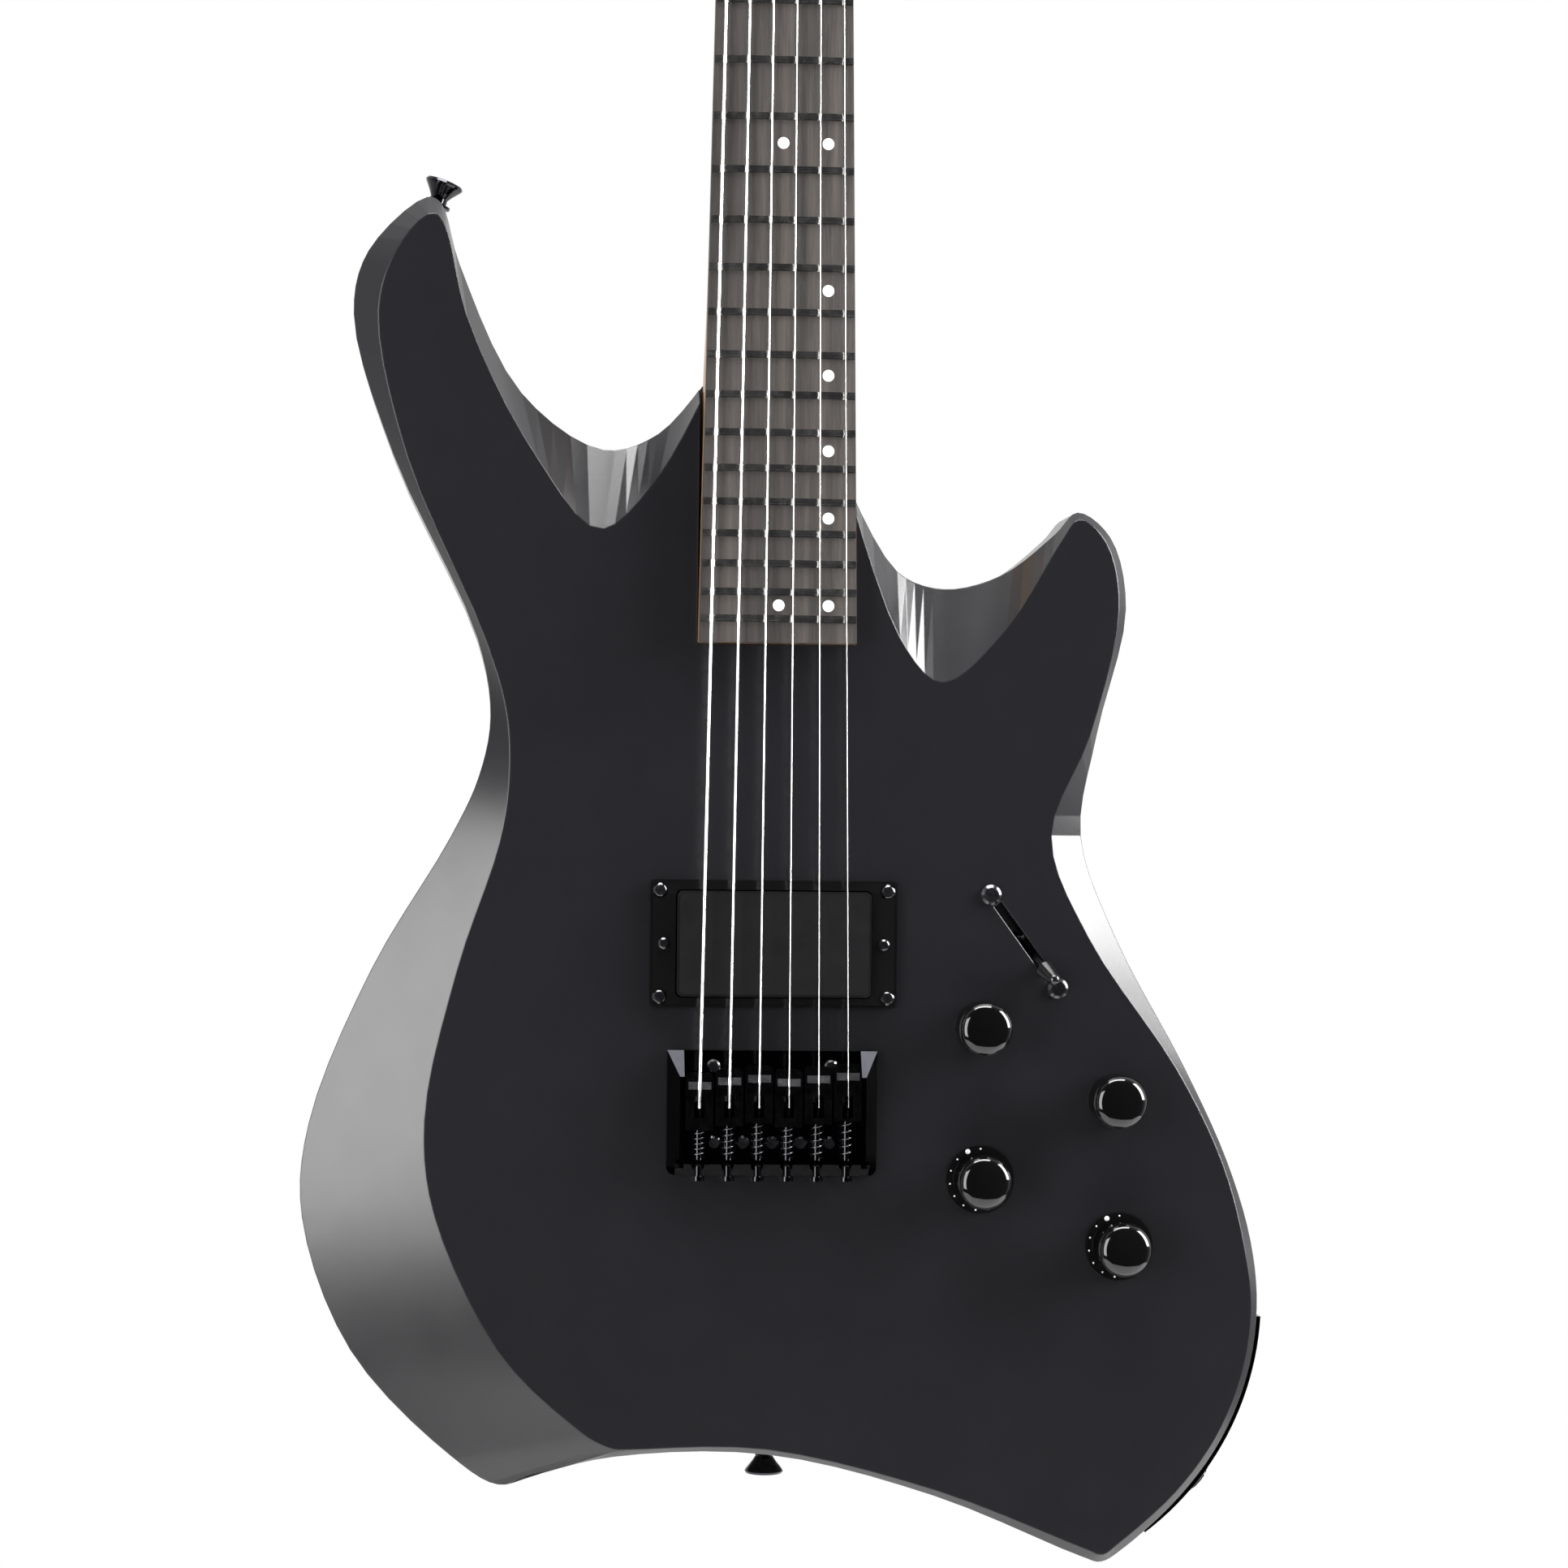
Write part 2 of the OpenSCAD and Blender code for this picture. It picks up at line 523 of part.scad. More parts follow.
// a flat rounded rectangle standing on the front face
module rounded_block(w, h, r, y0, y1, z) {
    translate([0, y1, z]) rotate([90, 0, 0]) linear_extrude(y1 - y0) union() {
        square([w - 2 * r, h], center = true);
        square([w, h - 2 * r], center = true);
        for (sx = [-1, 1]) for (sz = [-1, 1])
            translate([sx * (w / 2 - r), sz * (h / 2 - r)]) circle(r = r, $fn = 24);
    }
}
ring_top = front - 4.2;
cover_top = front - 8;
module pickup_ring() {
    color([0.03, 0.03, 0.03]) difference() {
        union() {
            rounded_block(ring_length, ring_height, 1.6, front - 2.6, front, pickup_z);
            rounded_block(ring_length - 2.4, ring_height - 2.4, 1.6, ring_top, front - 2.6, pickup_z);
        }
        rounded_block(cover_length + 1, cover_height + 1, 2.2, ring_top - 5, front + 5, pickup_z);
        for (p = concat(ring_screws, height_screws))
            along_y(p[0], p[1], ring_top - 5) cylinder(r = 1.5, h = 20, $fn = 20);
        for (p = ring_screws)
            along_y(p[0], p[1], ring_top - 5) cylinder(r = 2.7, h = 6, $fn = 30);
    }
}
module pickup_cover() {
    color([0.06, 0.06, 0.06]) difference() {
        union() {
            rounded_block(cover_length, cover_height, 2, cover_top + 0.8, front + 5, pickup_z);
            rounded_block(cover_length - 1.6, cover_height - 1.6, 2, cover_top, cover_top + 0.8, pickup_z);
        }
        rounded_block(cover_length - 3, cover_height - 3, 1.5, cover_top + 1.5, front + 6, pickup_z);
    }
}
module pickup_coils() {
    color([0.55, 0.3, 0.15]) union() {
        difference() {
            union() {
                slab(-33, 33, front + 5.1, front + 6.6, pickup_z - 18, pickup_z + 18);
                slab(-42, 42, front + 5.1, front + 6.6, pickup_z - 4, pickup_z + 4);
            }
            for (p = height_screws) along_y(p[0], p[1], front + 4) cylinder(r = 1.4, h = 4, $fn = 20);
        }
        for (s = [-1, 1]) translate([0, 0, pickup_z + s * 9])
            slab(-30, 30, cover_top + 1.8, front + 5.1, -7, 7);
    }
}
module pickup_screws() {
    color([0.12, 0.12, 0.12]) {
        for (p = ring_screws) screw(p[0], p[1], ring_top + 1, 2.6, 1.6, 1.25, 12);
        for (p = height_screws) screw(p[0], p[1], ring_top, 2, 1.2, 1.2, 16);
    }
}

// bridge: flat tray with bevelled side and rear walls
tray_floor = front - 2;
wall_top = front - 9;
wall_w = 6;
bridge_top_z = bridge_z + bridge_height / 2;
bridge_low_z = bridge_z - bridge_height / 2;
module bridge_base() {
    hw = bridge_width / 2;
    color([0.04, 0.04, 0.05]) difference() {
        union() {
            rounded_block(bridge_width, bridge_height, 3, tray_floor, front, bridge_z);
            for (s = [-1, 1]) mirror([s < 0 ? 1 : 0, 0, 0])
                translate([0, 0, bridge_low_z + 3]) linear_extrude(bridge_height - 3)
                    polygon([[hw - wall_w, tray_floor + eps], [hw - wall_w, wall_top],
                        [hw - wall_w + 1.6, wall_top], [hw, tray_floor - 0.6], [hw, tray_floor + eps]]);
            translate([-hw + 3, 0, 0]) rotate([90, 0, 90]) linear_extrude(bridge_width - 6)
                polygon([[tray_floor + eps, bridge_low_z + wall_w], [wall_top, bridge_low_z + wall_w],
                    [wall_top, bridge_low_z + wall_w - 1.6], [tray_floor - 0.6, bridge_low_z],
                    [tray_floor + eps, bridge_low_z]]);
        }
        // mitred front ends of the side walls
        for (s = [-1, 1]) translate([s * hw, tray_floor - 0.6, bridge_top_z])
            rotate([55, 0, 0]) translate([-10, -20, -0.01]) cube([20, 40, 20]);
        for (p = concat(bridge_front_screws, bridge_rear_screws))
            along_y(p[0], p[1], tray_floor - 1) cylinder(r = 1.6, h = 4, $fn = 20);
        for (i = [0 : 5])
            along_y(string_x(i, hole_z), hole_z, tray_floor - 1) cylinder(r = 1.4, h = 4, $fn = 20);
        for (i = [0 : 5])
            translate([string_x(i, bridge_line), screw_axis_y, bridge_low_z - 1])
                cylinder(r = 1.45, h = wall_w + 2, $fn = 20);
    }
}
module bridge_screws() {
    color([0.06, 0.06, 0.06]) {
        for (p = bridge_front_screws) screw(p[0], p[1], tray_floor, 2.4, 1.1, 1.4, 20);
        for (p = bridge_rear_screws) screw(p[0], p[1], tray_floor, 2.6, 1.3, 1.4, 20);
    }
}
module string_ferrules() {
    color([0.08, 0.08, 0.08]) for (i = [0 : 5]) difference() {
        along_y(string_x(i, hole_z), hole_z, back - 8) union() {
            cylinder(r = 4.1, h = 8.1);
            translate([0, 0, 8]) cylinder(r = 5, h = 0.8);
        }
        along_y(string_x(i, hole_z), hole_z, back - 9) cylinder(r = 1.4, h = 12, $fn = 20);
        along_y(string_x(i, hole_z), hole_z, back - 4) cylinder(r = 2.6, h = 8, $fn = 24);
    }
}

screw_axis_y = front - 6.6;
saddle_w = 10.1;
saddle_len = 20.5;
saddle_low_y = front - 4.6;
slot_half = 1.9;
slot_reach = saddle_travel + 0.9;
insert_rise = 0.8;
string_gap = 0.3;
function saddle_top(i) = saddle_y(i) + string_d[i] / 2 + string_gap + insert_rise;
// saddle local frame: x across, z = 0 at the string's contact line
module saddle(i) {
    x = string_x(i, bridge_line);
    top = saddle_top(i);
    translate([x, 0, saddle_z(i)]) {
        color([0.1, 0.1, 0.11]) difference() {
            union() {
                translate([0, saddle_low_y, 0]) rotate([90, 0, 0]) linear_extrude(saddle_low_y - top) union() {
                    translate([-saddle_w / 2 + 0.1, -saddle_len + 4.4])
                        square([saddle_w - 0.2, saddle_len - 1.7]);
                    translate([-saddle_w / 2 + 1.7, 0]) square([saddle_w - 3.4, 4.4]);
                    for (s = [-1, 1]) translate([s * (saddle_w / 2 - 1.8), 2.7]) circle(r = 1.7, $fn = 24);
                }
            }
            // seat of the insert, string slot, intonation thread and set-screw threads
            slab(-4.1, 4.1, top - 1, top + 0.6, -1.35, 1.35);
            slab(-slot_half, slot_half, top - 1, saddle_low_y + 1, hole_z - saddle_z(i) - slot_reach,
                hole_z - saddle_z(i) + slot_reach);
            translate([0, screw_axis_y, -saddle_len + 3]) cylinder(r = 1.75, h = saddle_len - 6, $fn = 20);
            for (s = [-1, 1])
                along_y(s * 3.55, -4.2, top - 1) cylinder(r = 1.5, h = 12, $fn = 20);
            for (s = [-1, 1])
                translate([s * 3.9, 0, 0])
                    slab(-1.4, 1.4, saddle_low_y - 3.2, saddle_low_y + 1, -saddle_len + 3, -9);
        }
        color([0.7, 0.7, 0.72])
            slab(-4.1, 4.1, top - insert_rise, top + 0.6, -1.35, 1.35);
        color([0.02, 0.02, 0.02]) for (s = [-1, 1]) difference() {
            along_y(s * 3.55, -4.2, top + 0.7) cylinder(r = 1.5, h = tray_floor - 0.35 - top - 0.7, $fn = 20);
            along_y(s * 3.55, -4.2, top) cylinder(r = 0.75, h = 2.6, $fn = 6);
        }
    }
}
module saddle_1() { saddle(0); }
module saddle_2() { saddle(1); }
module saddle_3() { saddle(2); }
module saddle_4() { saddle(3); }
module saddle_5() { saddle(4); }
module saddle_6() { saddle(5); }
module intonation_screws() {
    color([0.1, 0.1, 0.1]) for (i = [0 : 5])
        translate([string_x(i, bridge_line), screw_axis_y, 0]) difference() {
            union() {
                translate([0, 0, bridge_low_z - 1.6]) cylinder(r = 2.3, h = 1.6, $fn = 24);
                translate([0, 0, bridge_low_z - eps])
                    cylinder(r = 1.4, h = hole_z - 1.2 - bridge_low_z, $fn = 20);
            }
            translate([-0.4, -1.6, bridge_low_z - 2]) cube([0.8, 3.2, 1.2]);
        }
}
spring_r = 1.95;
spring_wire = 0.3;
// coil made of closed rings, one per turn, standing round the screw
module intonation_springs() {
    color([0.45, 0.45, 0.47]) for (i = [0 : 5]) {
        z0 = bridge_low_z + wall_w + 0.4;
        z1 = saddle_z(i) - saddle_len + 4.4 - 0.4;
        turns = 3;
        translate([string_x(i, bridge_line), screw_axis_y, 0]) for (k = [0 : turns - 1])
            translate([0, 0, z0 + spring_wire + (z1 - z0 - 2 * spring_wire) * k / (turns - 1)])
                rotate_extrude($fn = 24) translate([spring_r, 0]) circle(r = spring_wire, $fn = 16);
    }
}

// a string: an eight-sided tube through its bends, which all lie near one Y-Z plane
string_sides = 8;
module string_tube(path, r) {
    n = len(path);
    function dir(k) = unit3(path[min(n - 1, k + 1)] - path[max(0, k)]);
    function bisect(k) = k == 0 ? dir(0) : k == n - 1 ? dir(n - 2) : unit3(dir(k - 1) + dir(k));
    // across the bend, lengthened so that the tube keeps its width through the mitre
    function lift(k) = let (t = bisect(k), v = unit3([0, t[2], -t[1]]), c = k == 0 || k == n - 1 ? 1
        : max(0.5, t * dir(k))) v / c;
    pts = [for (k = [0 : n - 1]) for (i = [0 : string_sides - 1])
        path[k] + r * (cos(360 * i / string_sides) * [1, 0, 0] + sin(360 * i / string_sides) * lift(k))];
    strips = [for (k = [0 : n - 2]) for (i = [0 : string_sides - 1]) let (j = (i + 1) % string_sides,
        a = k * string_sides, b = (k + 1) * string_sides) each [[a + i, b + j, a + j], [a + i, b + i, b + j]]];
    polyhedron(pts, concat(strips, [[for (i = [0 : string_sides - 1]) i]],
        [[for (i = [string_sides - 1 : -1 : 0]) (n - 1) * string_sides + i]]));
}
function unit3(v) = v / norm(v);
module strings() {
    color([0.8, 0.78, 0.72]) for (i = [0 : 5]) {
        r = string_d[i] / 2;
        x0 = string_x(i, bridge_line);
        xh = string_x(i, hole_z);
        union() {
            string_tube([[string_x(i, post_z(i)) + 0.1, post_wrap_y - 1, post_z(i) - 3.75 - r],
                [string_x(i, nut_z), nut_y(i), nut_z + nut_thick + 0.1],
                [x0, saddle_y(i), saddle_z(i)],
                [xh, saddle_y(i), hole_z],
                [xh, back - 3.5, hole_z]], r);
            along_y(xh, hole_z, back - 3.9) cylinder(r = 1.9, h = 3.2, $fn = 24);
        }
    }
}

// tuning machines
post_r = 3;
worm_y = head_back + 5.5;
worm_off = 8.6;
module tuner_frame(i) {
    translate([post_x(i), 0, post_z(i)]) rotate([0, head_slant, 0]) children();
}
module tuner_housings() {
    color([0.08, 0.08, 0.08]) for (i = [0 : 5]) tuner_frame(i) difference() {
        union() {
            slab(-9, 8.5, head_back, head_back + 10, -13, 8.5);
            translate([-9 - 7, worm_y, -worm_off]) rotate([0, 90, 0]) cylinder(r = 3.1, h = 8, $fn = 30);
        }
        // gear room, post bore and worm bore
        slab(-7.2, 7, head_back + 2.2, head_back + 8.6, -7, 7);
        slab(-6.6, 6.6, head_back + 2.2, head_back + 8.6, -11.5, -5.6);
        along_y(0, 0, head_back - 1) cylinder(r = post_r + 0.35, h = 8);
        translate([-20, worm_y, -worm_off]) rotate([0, 90, 0]) cylinder(r = 2.2, h = 14, $fn = 30);
    }
}
module tuner_bushings() {
    color([0.08, 0.08, 0.08]) for (i = [0 : 5]) along_y(post_x(i), post_z(i), head_front - 2.2) difference() {
        union() {
            cylinder(r = 6, h = 2.2, $fn = 6);
            cylinder(r = 4.8, h = 12);
        }
        translate([0, 0, -1]) cylinder(r = post_r + 0.35, h = 16);
    }
}
module post(i) {
    color([0.1, 0.1, 0.1]) along_y(post_x(i), post_z(i), 0) union() {
        translate([0, 0, post_wrap_y - 3.2]) cylinder(r = post_r, h = head_back + 7.6 - post_wrap_y + 3.2);
        translate([0, 0, post_wrap_y - 3.6]) cylinder(r = 3.3, h = 1.4);
        translate([0, 0, head_back + 3]) cylinder(r = 5.6, h = 4.4, $fn = 60);
    }
    color([0.8, 0.78, 0.72]) along_y(post_x(i), post_z(i), 0) rotate_extrude($fn = 40)
        translate([post_r - 0.1, post_wrap_y - 0.6]) square([0.4, 2.4]);
}
module tuner_post_1() { post(0); }
module tuner_post_2() { post(1); }
module tuner_post_3() { post(2); }
module tuner_post_4() { post(3); }
module tuner_post_5() { post(4); }
module tuner_post_6() { post(5); }
module key(i) {
    color([0.08, 0.08, 0.08]) tuner_frame(i) translate([0, worm_y, -worm_off]) rotate([0, -90, 0]) union() {
        translate([0, 0, -5.5]) cylinder(r = 1.9, h = 26, $fn = 24);
        translate([0, 0, -5.5]) cylinder(r = 2.5, h = 11, $fn = 30);
        translate([0, 0, 17.5]) cylinder(r = 3, h = 2.5, $fn = 30);
        translate([0, 0, 20]) rotate([0, 90, 0]) translate([0, 0, -2.9]) linear_extrude(5.8) polygon(
            [[0, -3], [-1.5, -6.5], [-5, -8.6], [-9, -8.9], [-12.5, -7.5], [-14, -4.5],
            [-14, 4.5], [-12.5, 7.5], [-9, 8.9], [-5, 8.6], [-1.5, 6.5], [0, 3]]);
    }
}
module tuner_key_1() { key(0); }
module tuner_key_2() { key(1); }
module tuner_key_3() { key(2); }
module tuner_key_4() { key(3); }
module tuner_key_5() { key(4); }
module tuner_key_6() { key(5); }

// knobs: knurled skirt under a shallow dome, on a shaft that reaches into its potentiometer
knurls = 40;
knob_gap = 1;
ring_thick = 1.4;
module knob(p, lift) {
    top = front - knob_gap - lift - knob_height;
    low = front - knob_gap - lift;
    color([0.04, 0.04, 0.04]) {
        intersection() {
            along_y(p[0], p[1], top) rotate_extrude($fn = 72) polygon([[0, 0], [4, 0.15], [7, 0.6],
                [8.6, 1.3], [9.3, 2.2], [knob_r + 0.6, 5], [knob_r + 0.6, knob_height], [0, knob_height]]);
            along_y(p[0], p[1], top - 1) linear_extrude(knob_height + 2) polygon([for (k = [0 : 2 * knurls - 1])
                let (r = knob_r - (k % 2) * 0.45) [r * cos(180 * k / knurls), r * sin(180 * k / knurls)]]);
        }
        along_y(p[0], p[1], low - eps) cylinder(r = shaft_r, h = cavity_front + 7.5 - low);
    }
}
module knob_volume() { knob(knob_volume_at, 0); }
module knob_tone() { knob(knob_tone_at, 0); }
module knob_model() { knob(knob_model_at, ring_thick); }
module knob_tuning() { knob(knob_tuning_at, ring_thick); }
module dial_rings() {
    color([0.06, 0.06, 0.06]) for (p = [knob_model_at, knob_tuning_at])
        along_y(p[0], p[1], front - ring_thick) difference() {
            cylinder(r = ring_r, h = ring_thick, $fn = 72);
            translate([0, 0, -1]) cylinder(r = 4.4, h = 4);
        }
}
module potentiometers() {
    color([0.6, 0.6, 0.6]) for (p = knobs_at) along_y(p[0], p[1], 0) difference() {
        union() {
            translate([0, 0, cavity_front]) cylinder(r = 11.8, h = 9.5, $fn = 60);
            translate([0, 0, front + 0.3]) cylinder(r = 4.1, h = top_wall);
        }
        translate([0, 0, front - 1]) cylinder(r = shaft_r + 0.35, h = top_wall + 9.3);
    }
}

// five-way blade selector, drawn with its lever at the lower end of its travel
module switch_local() {
    translate([switch_at[0], 0, switch_at[1]]) rotate([0, -switch_slant, 0]) children();
}
module switch_lever() {
    switch_local() translate([0, pivot_y, 0]) rotate([switch_swing, 0, 0]) {
        color([0.5, 0.5, 0.5]) difference() {
            union() {
                slab(-0.9, 0.9, tip_len - 1 - lever_len, 0, -2.2, 2.2);
                rotate([0, 90, 0]) translate([0, 0, -0.9]) cylinder(r = 4, h = 1.8);
            }
            rotate([0, 90, 0]) translate([0, 0, -3]) cylinder(r = 1.85, h = 6, $fn = 24);
        }
        color([0.04, 0.04, 0.04]) rotate([90, 0, 0]) difference() {
            union() {
                translate([0, 0, lever_len - tip_len])
                    cylinder(r1 = 3.2, r2 = tip_r, h = tip_len - tip_r + eps);
                translate([0, 0, lever_len - tip_r]) sphere(r = tip_r, $fn = 32);
            }
            slab(-0.9, 0.9, -2.2, 2.2, lever_len - tip_len - 0.5, lever_len - tip_len + 1);
        }
    }
}
module switch_frame() {
    switch_local() color([0.7, 0.68, 0.6]) union() {
        difference() {
            slab(-5, 5, cavity_front, cavity_front + 1.4, -24, 24);
            slab(-1.8, 1.8, cavity_front - 1, cavity_front + 2, -16.9, 16.9);
            for (s = [-1, 1])
                along_y(0, s * switch_screw_gap, cavity_front - 1) cylinder(r = 1.7, h = 4, $fn = 20);
        }
        for (s = [-1, 1]) translate([s * 3.6, 0, 0]) slab(-1, 1, cavity_front + 1, pivot_y + 11, -19, 19);
        translate([-3.6, pivot_y, 0]) rotate([0, 90, 0]) cylinder(r = 1.5, h = 7.2, $fn = 24);
        slab(-4.6, 4.6, pivot_y + 9, pivot_y + 11, -19, 19);
    }
}
module switch_screws() {
    color([0.1, 0.1, 0.1]) for (p = switch_screw_at) screw(p[0], p[1], front, 3.7, 2.2, 1.6, 7.5);
}

// output plate with jack and digital socket, bent to the side of the body
module jack_plate() {
    color([0.05, 0.05, 0.06]) difference() {
        plate_xz(arc_band(side_arc_r + 0.05, side_arc_r + plate_thick, 0), -plate_half, plate_half);
        side_at(jack_angle) translate([0, 0, -10]) cylinder(r = 4.8, h = 20);
        side_at(socket_angle) translate([-7.2, -6.2, -10]) cube([14.4, 12.4, 20]);
        for (a = [plate_from + 2.6, plate_to - 2.6])
            side_at(a) translate([0, 0, -10]) cylinder(r = 1.7, h = 20, $fn = 20);
    }
}
module output_jack() {
    side_at(jack_angle) {
        color([0.1, 0.1, 0.1]) difference() {
            union() {
                translate([0, 0, -5.6]) cylinder(r = 4.7, h = 12);
                translate([0, 0, -4.9]) cylinder(r = 7, h = 2.6, $fn = 6);
                translate([0, 0, 2]) cylinder(r = 9, h = 26);
            }
            translate([0, 0, -6]) cylinder(r = 3.2, h = 32);
        }
    }
}
module digital_socket() {
    side_at(socket_angle) color([0.06, 0.06, 0.06]) difference() {
        union() {
            translate([-8.6, -7.2, 2]) cube([17.2, 14.4, 18]);
            translate([-7, -6, -2.6]) cube([14, 12, 6]);
        }
        translate([-5.9, -4.2, -3]) cube([11.8, 8.4, 17]);
    }
}
module plate_screws() {
    color([0.7, 0.7, 0.7]) for (a = [plate_from + 2.6, plate_to - 2.6]) side_at(a) union() {
        translate([0, 0, -plate_thick - 1.6]) cylinder(r1 = 1.8, r2 = 2.7, h = 1.5, $fn = 30);
        translate([0, 0, -plate_thick - 0.4]) cylinder(r = 1.1, h = 15, $fn = 16);
    }
}
module battery_pack() {
    color([0.12, 0.14, 0.2]) slab(battery_box[0] + 1, battery_box[1] - 1, back - battery_depth + 1,
        back - lid_thick - 2, battery_box[2] + 1, battery_box[3] - 1);
}
board_pillars = [[100, 118], [104, 62], [146, 100], [132, 45]];
module circuit_board() {
    color([0.05, 0.3, 0.15]) union() {
        plate_xz([[66, 112], [90, 118], [146, 112], [149, 78], [146, 46], [128, 36], [100, 40], [96, 84],
            [66, 84]], 6, 7.6);
        for (p = board_pillars) along_y(p[0], p[1], cavity_front) cylinder(r = 2.2, h = 6 - cavity_front + eps, $fn = 20);
        slab(104, 122, 7.6, 9.6, 84, 102);
        slab(112, 124, 7.6, 9.4, 56, 72);
        slab(132, 140, 7.6, 12, 60, 80);
    }
}
module lid(pts, holes) {
    difference() {
        plate_xz(pts, back - lid_thick, back);
        for (p = holes) along_y(p[0], p[1], back - 5) cylinder(r = 1.5, h = 8, $fn = 20);
    }
}
function shrink(pts, c, f) = [for (p = pts) c + (p - c) * f];
module control_cover() {
    color([0.05, 0.05, 0.05]) lid(shrink(control_lid, [108, 108], 0.996), lid_screws);
}
module battery_cover() {
    b = battery_lid;
    color([0.05, 0.05, 0.05]) lid([[b[0] + 0.3, b[2] + 0.3], [b[1] - 0.3, b[2] + 0.3],
        [b[1] - 0.3, b[3] - 0.3], [b[0] + 0.3, b[3] - 0.3]], battery_screws);
}
module cover_screws() {
    color([0.1, 0.1, 0.1]) for (p = concat(lid_screws, battery_screws))
        screw_back(p[0], p[1], back, 2.4, 1.2, 1.1, 12);
}
module strap_button() {
    rotate_extrude($fn = 60) polygon([[0, 0], [5.1, 0], [5.1, 1], [3.4, 1.6], [3.2, 3.2], [4.4, 5], [6.7, 7.8],
        [7.1, 8.6], [6.6, 9.4], [4.5, 9.9], [0, 10]]);
}
module strap_buttons() {
    color([0.1, 0.1, 0.1]) {
        union() {
            mirror([0, 0, 1]) strap_button();
            translate([0, 0, -1]) cylinder(r = 1.4, h = 22, $fn = 16);
        }
        horn_button() union() {
            strap_button();
            translate([0, 0, -22]) cylinder(r = 1.4, h = 23, $fn = 16);
        }
    }
}

body();
neck();
fretboard();
frets();
inlays();
nut();
truss_rod();
truss_cover();
neck_bolts();
pickup_ring();
pickup_cover();
pickup_coils();
pickup_screws();
bridge_base();
bridge_screws();
string_ferrules();
saddle_1();
saddle_2();
saddle_3();
saddle_4();
saddle_5();
saddle_6();
intonation_screws();
intonation_springs();
strings();
tuner_housings();
tuner_bushings();
tuner_post_1();
tuner_post_2();
tuner_post_3();
tuner_post_4();
tuner_post_5();
tuner_post_6();
tuner_key_1();
tuner_key_2();
tuner_key_3();
tuner_key_4();
tuner_key_5();
tuner_key_6();
knob_volume();
knob_tone();
knob_model();
knob_tuning();
dial_rings();
potentiometers();
switch_lever();
switch_frame();
switch_screws();
jack_plate();
output_jack();
digital_socket();
plate_screws();
battery_pack();
circuit_board();
control_cover();
battery_cover();
cover_screws();
strap_buttons();
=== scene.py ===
import math
import bmesh
import bpy
from mathutils import Matrix, Vector


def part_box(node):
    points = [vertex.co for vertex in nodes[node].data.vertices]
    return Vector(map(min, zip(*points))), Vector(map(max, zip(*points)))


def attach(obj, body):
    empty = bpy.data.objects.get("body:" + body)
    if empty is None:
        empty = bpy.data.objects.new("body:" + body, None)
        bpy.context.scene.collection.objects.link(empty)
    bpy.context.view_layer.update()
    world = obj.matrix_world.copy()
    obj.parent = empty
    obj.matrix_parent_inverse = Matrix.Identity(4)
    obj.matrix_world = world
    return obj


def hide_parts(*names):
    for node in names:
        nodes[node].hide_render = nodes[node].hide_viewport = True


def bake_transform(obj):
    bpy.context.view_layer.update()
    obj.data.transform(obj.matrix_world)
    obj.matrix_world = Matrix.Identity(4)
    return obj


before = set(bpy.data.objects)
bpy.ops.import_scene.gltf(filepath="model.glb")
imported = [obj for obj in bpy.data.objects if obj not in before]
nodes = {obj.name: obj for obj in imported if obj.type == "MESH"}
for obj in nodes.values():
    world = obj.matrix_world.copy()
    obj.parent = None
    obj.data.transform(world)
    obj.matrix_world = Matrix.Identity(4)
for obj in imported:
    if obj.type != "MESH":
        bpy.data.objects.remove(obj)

bpy.context.view_layer.update()
MM = 0.001

# ---------------------------------------------------------------- camera
AIM = Vector((3.3, -21.5, 242.6)) * MM
CAM_DISTANCE = 1.5
CAM_YAW = math.radians(4.06)
CAM_PITCH = math.radians(0.79)
CAM_ROLL = 0.0105
SENSOR = 36.0
LENS = 95.1242
CLIP_END = 30
ahead = math.cos(CAM_PITCH)
look = Vector((math.sin(CAM_YAW) * ahead, math.cos(CAM_YAW) * ahead, math.sin(CAM_PITCH)))
level = Vector((math.cos(CAM_YAW), -math.sin(CAM_YAW), 0))
upright = level.cross(look)
right = level * math.cos(CAM_ROLL) + upright * math.sin(CAM_ROLL)
up = upright * math.cos(CAM_ROLL) - level * math.sin(CAM_ROLL)
cam_data = bpy.data.cameras.new("camera")
cam_data.sensor_width = SENSOR
cam_data.lens = LENS
cam_data.clip_end = CLIP_END
camera = bpy.data.objects.new("camera", cam_data)
bpy.context.collection.objects.link(camera)
turn = Matrix((right, up, -look)).transposed()
camera.matrix_world = Matrix.Translation(AIM - look * CAM_DISTANCE) @ turn.to_4x4()
bpy.context.scene.camera = camera

# ---------------------------------------------------------------- materials
def material(name, color, rough=0.4, metal=0.0, coat=0.0, coat_rough=0.05, spec=0.5):
    """A principled material whose fixed values sit on the shader's own sockets."""
    m = bpy.data.materials.new(name)
    m.use_nodes = True
    p = m.node_tree.nodes["Principled BSDF"]
    p.inputs["Base Color"].default_value = (*color, 1)
    p.inputs["Roughness"].default_value = rough
    p.inputs["Metallic"].default_value = metal
    p.inputs["Coat Weight"].default_value = coat
    p.inputs["Coat Roughness"].default_value = coat_rough
    p.inputs["Specular IOR Level"].default_value = spec
    return m, m.node_tree, p


def object_coords(tree, scale=(1, 1, 1), rot=(0, 0, 0)):
    tc = tree.nodes.new("ShaderNodeTexCoord")
    mp = tree.nodes.new("ShaderNodeMapping")
    mp.inputs["Scale"].default_value = scale
    mp.inputs["Rotation"].default_value = rot
    tree.links.new(tc.outputs["Object"], mp.inputs["Vector"])
    return mp.outputs["Vector"]


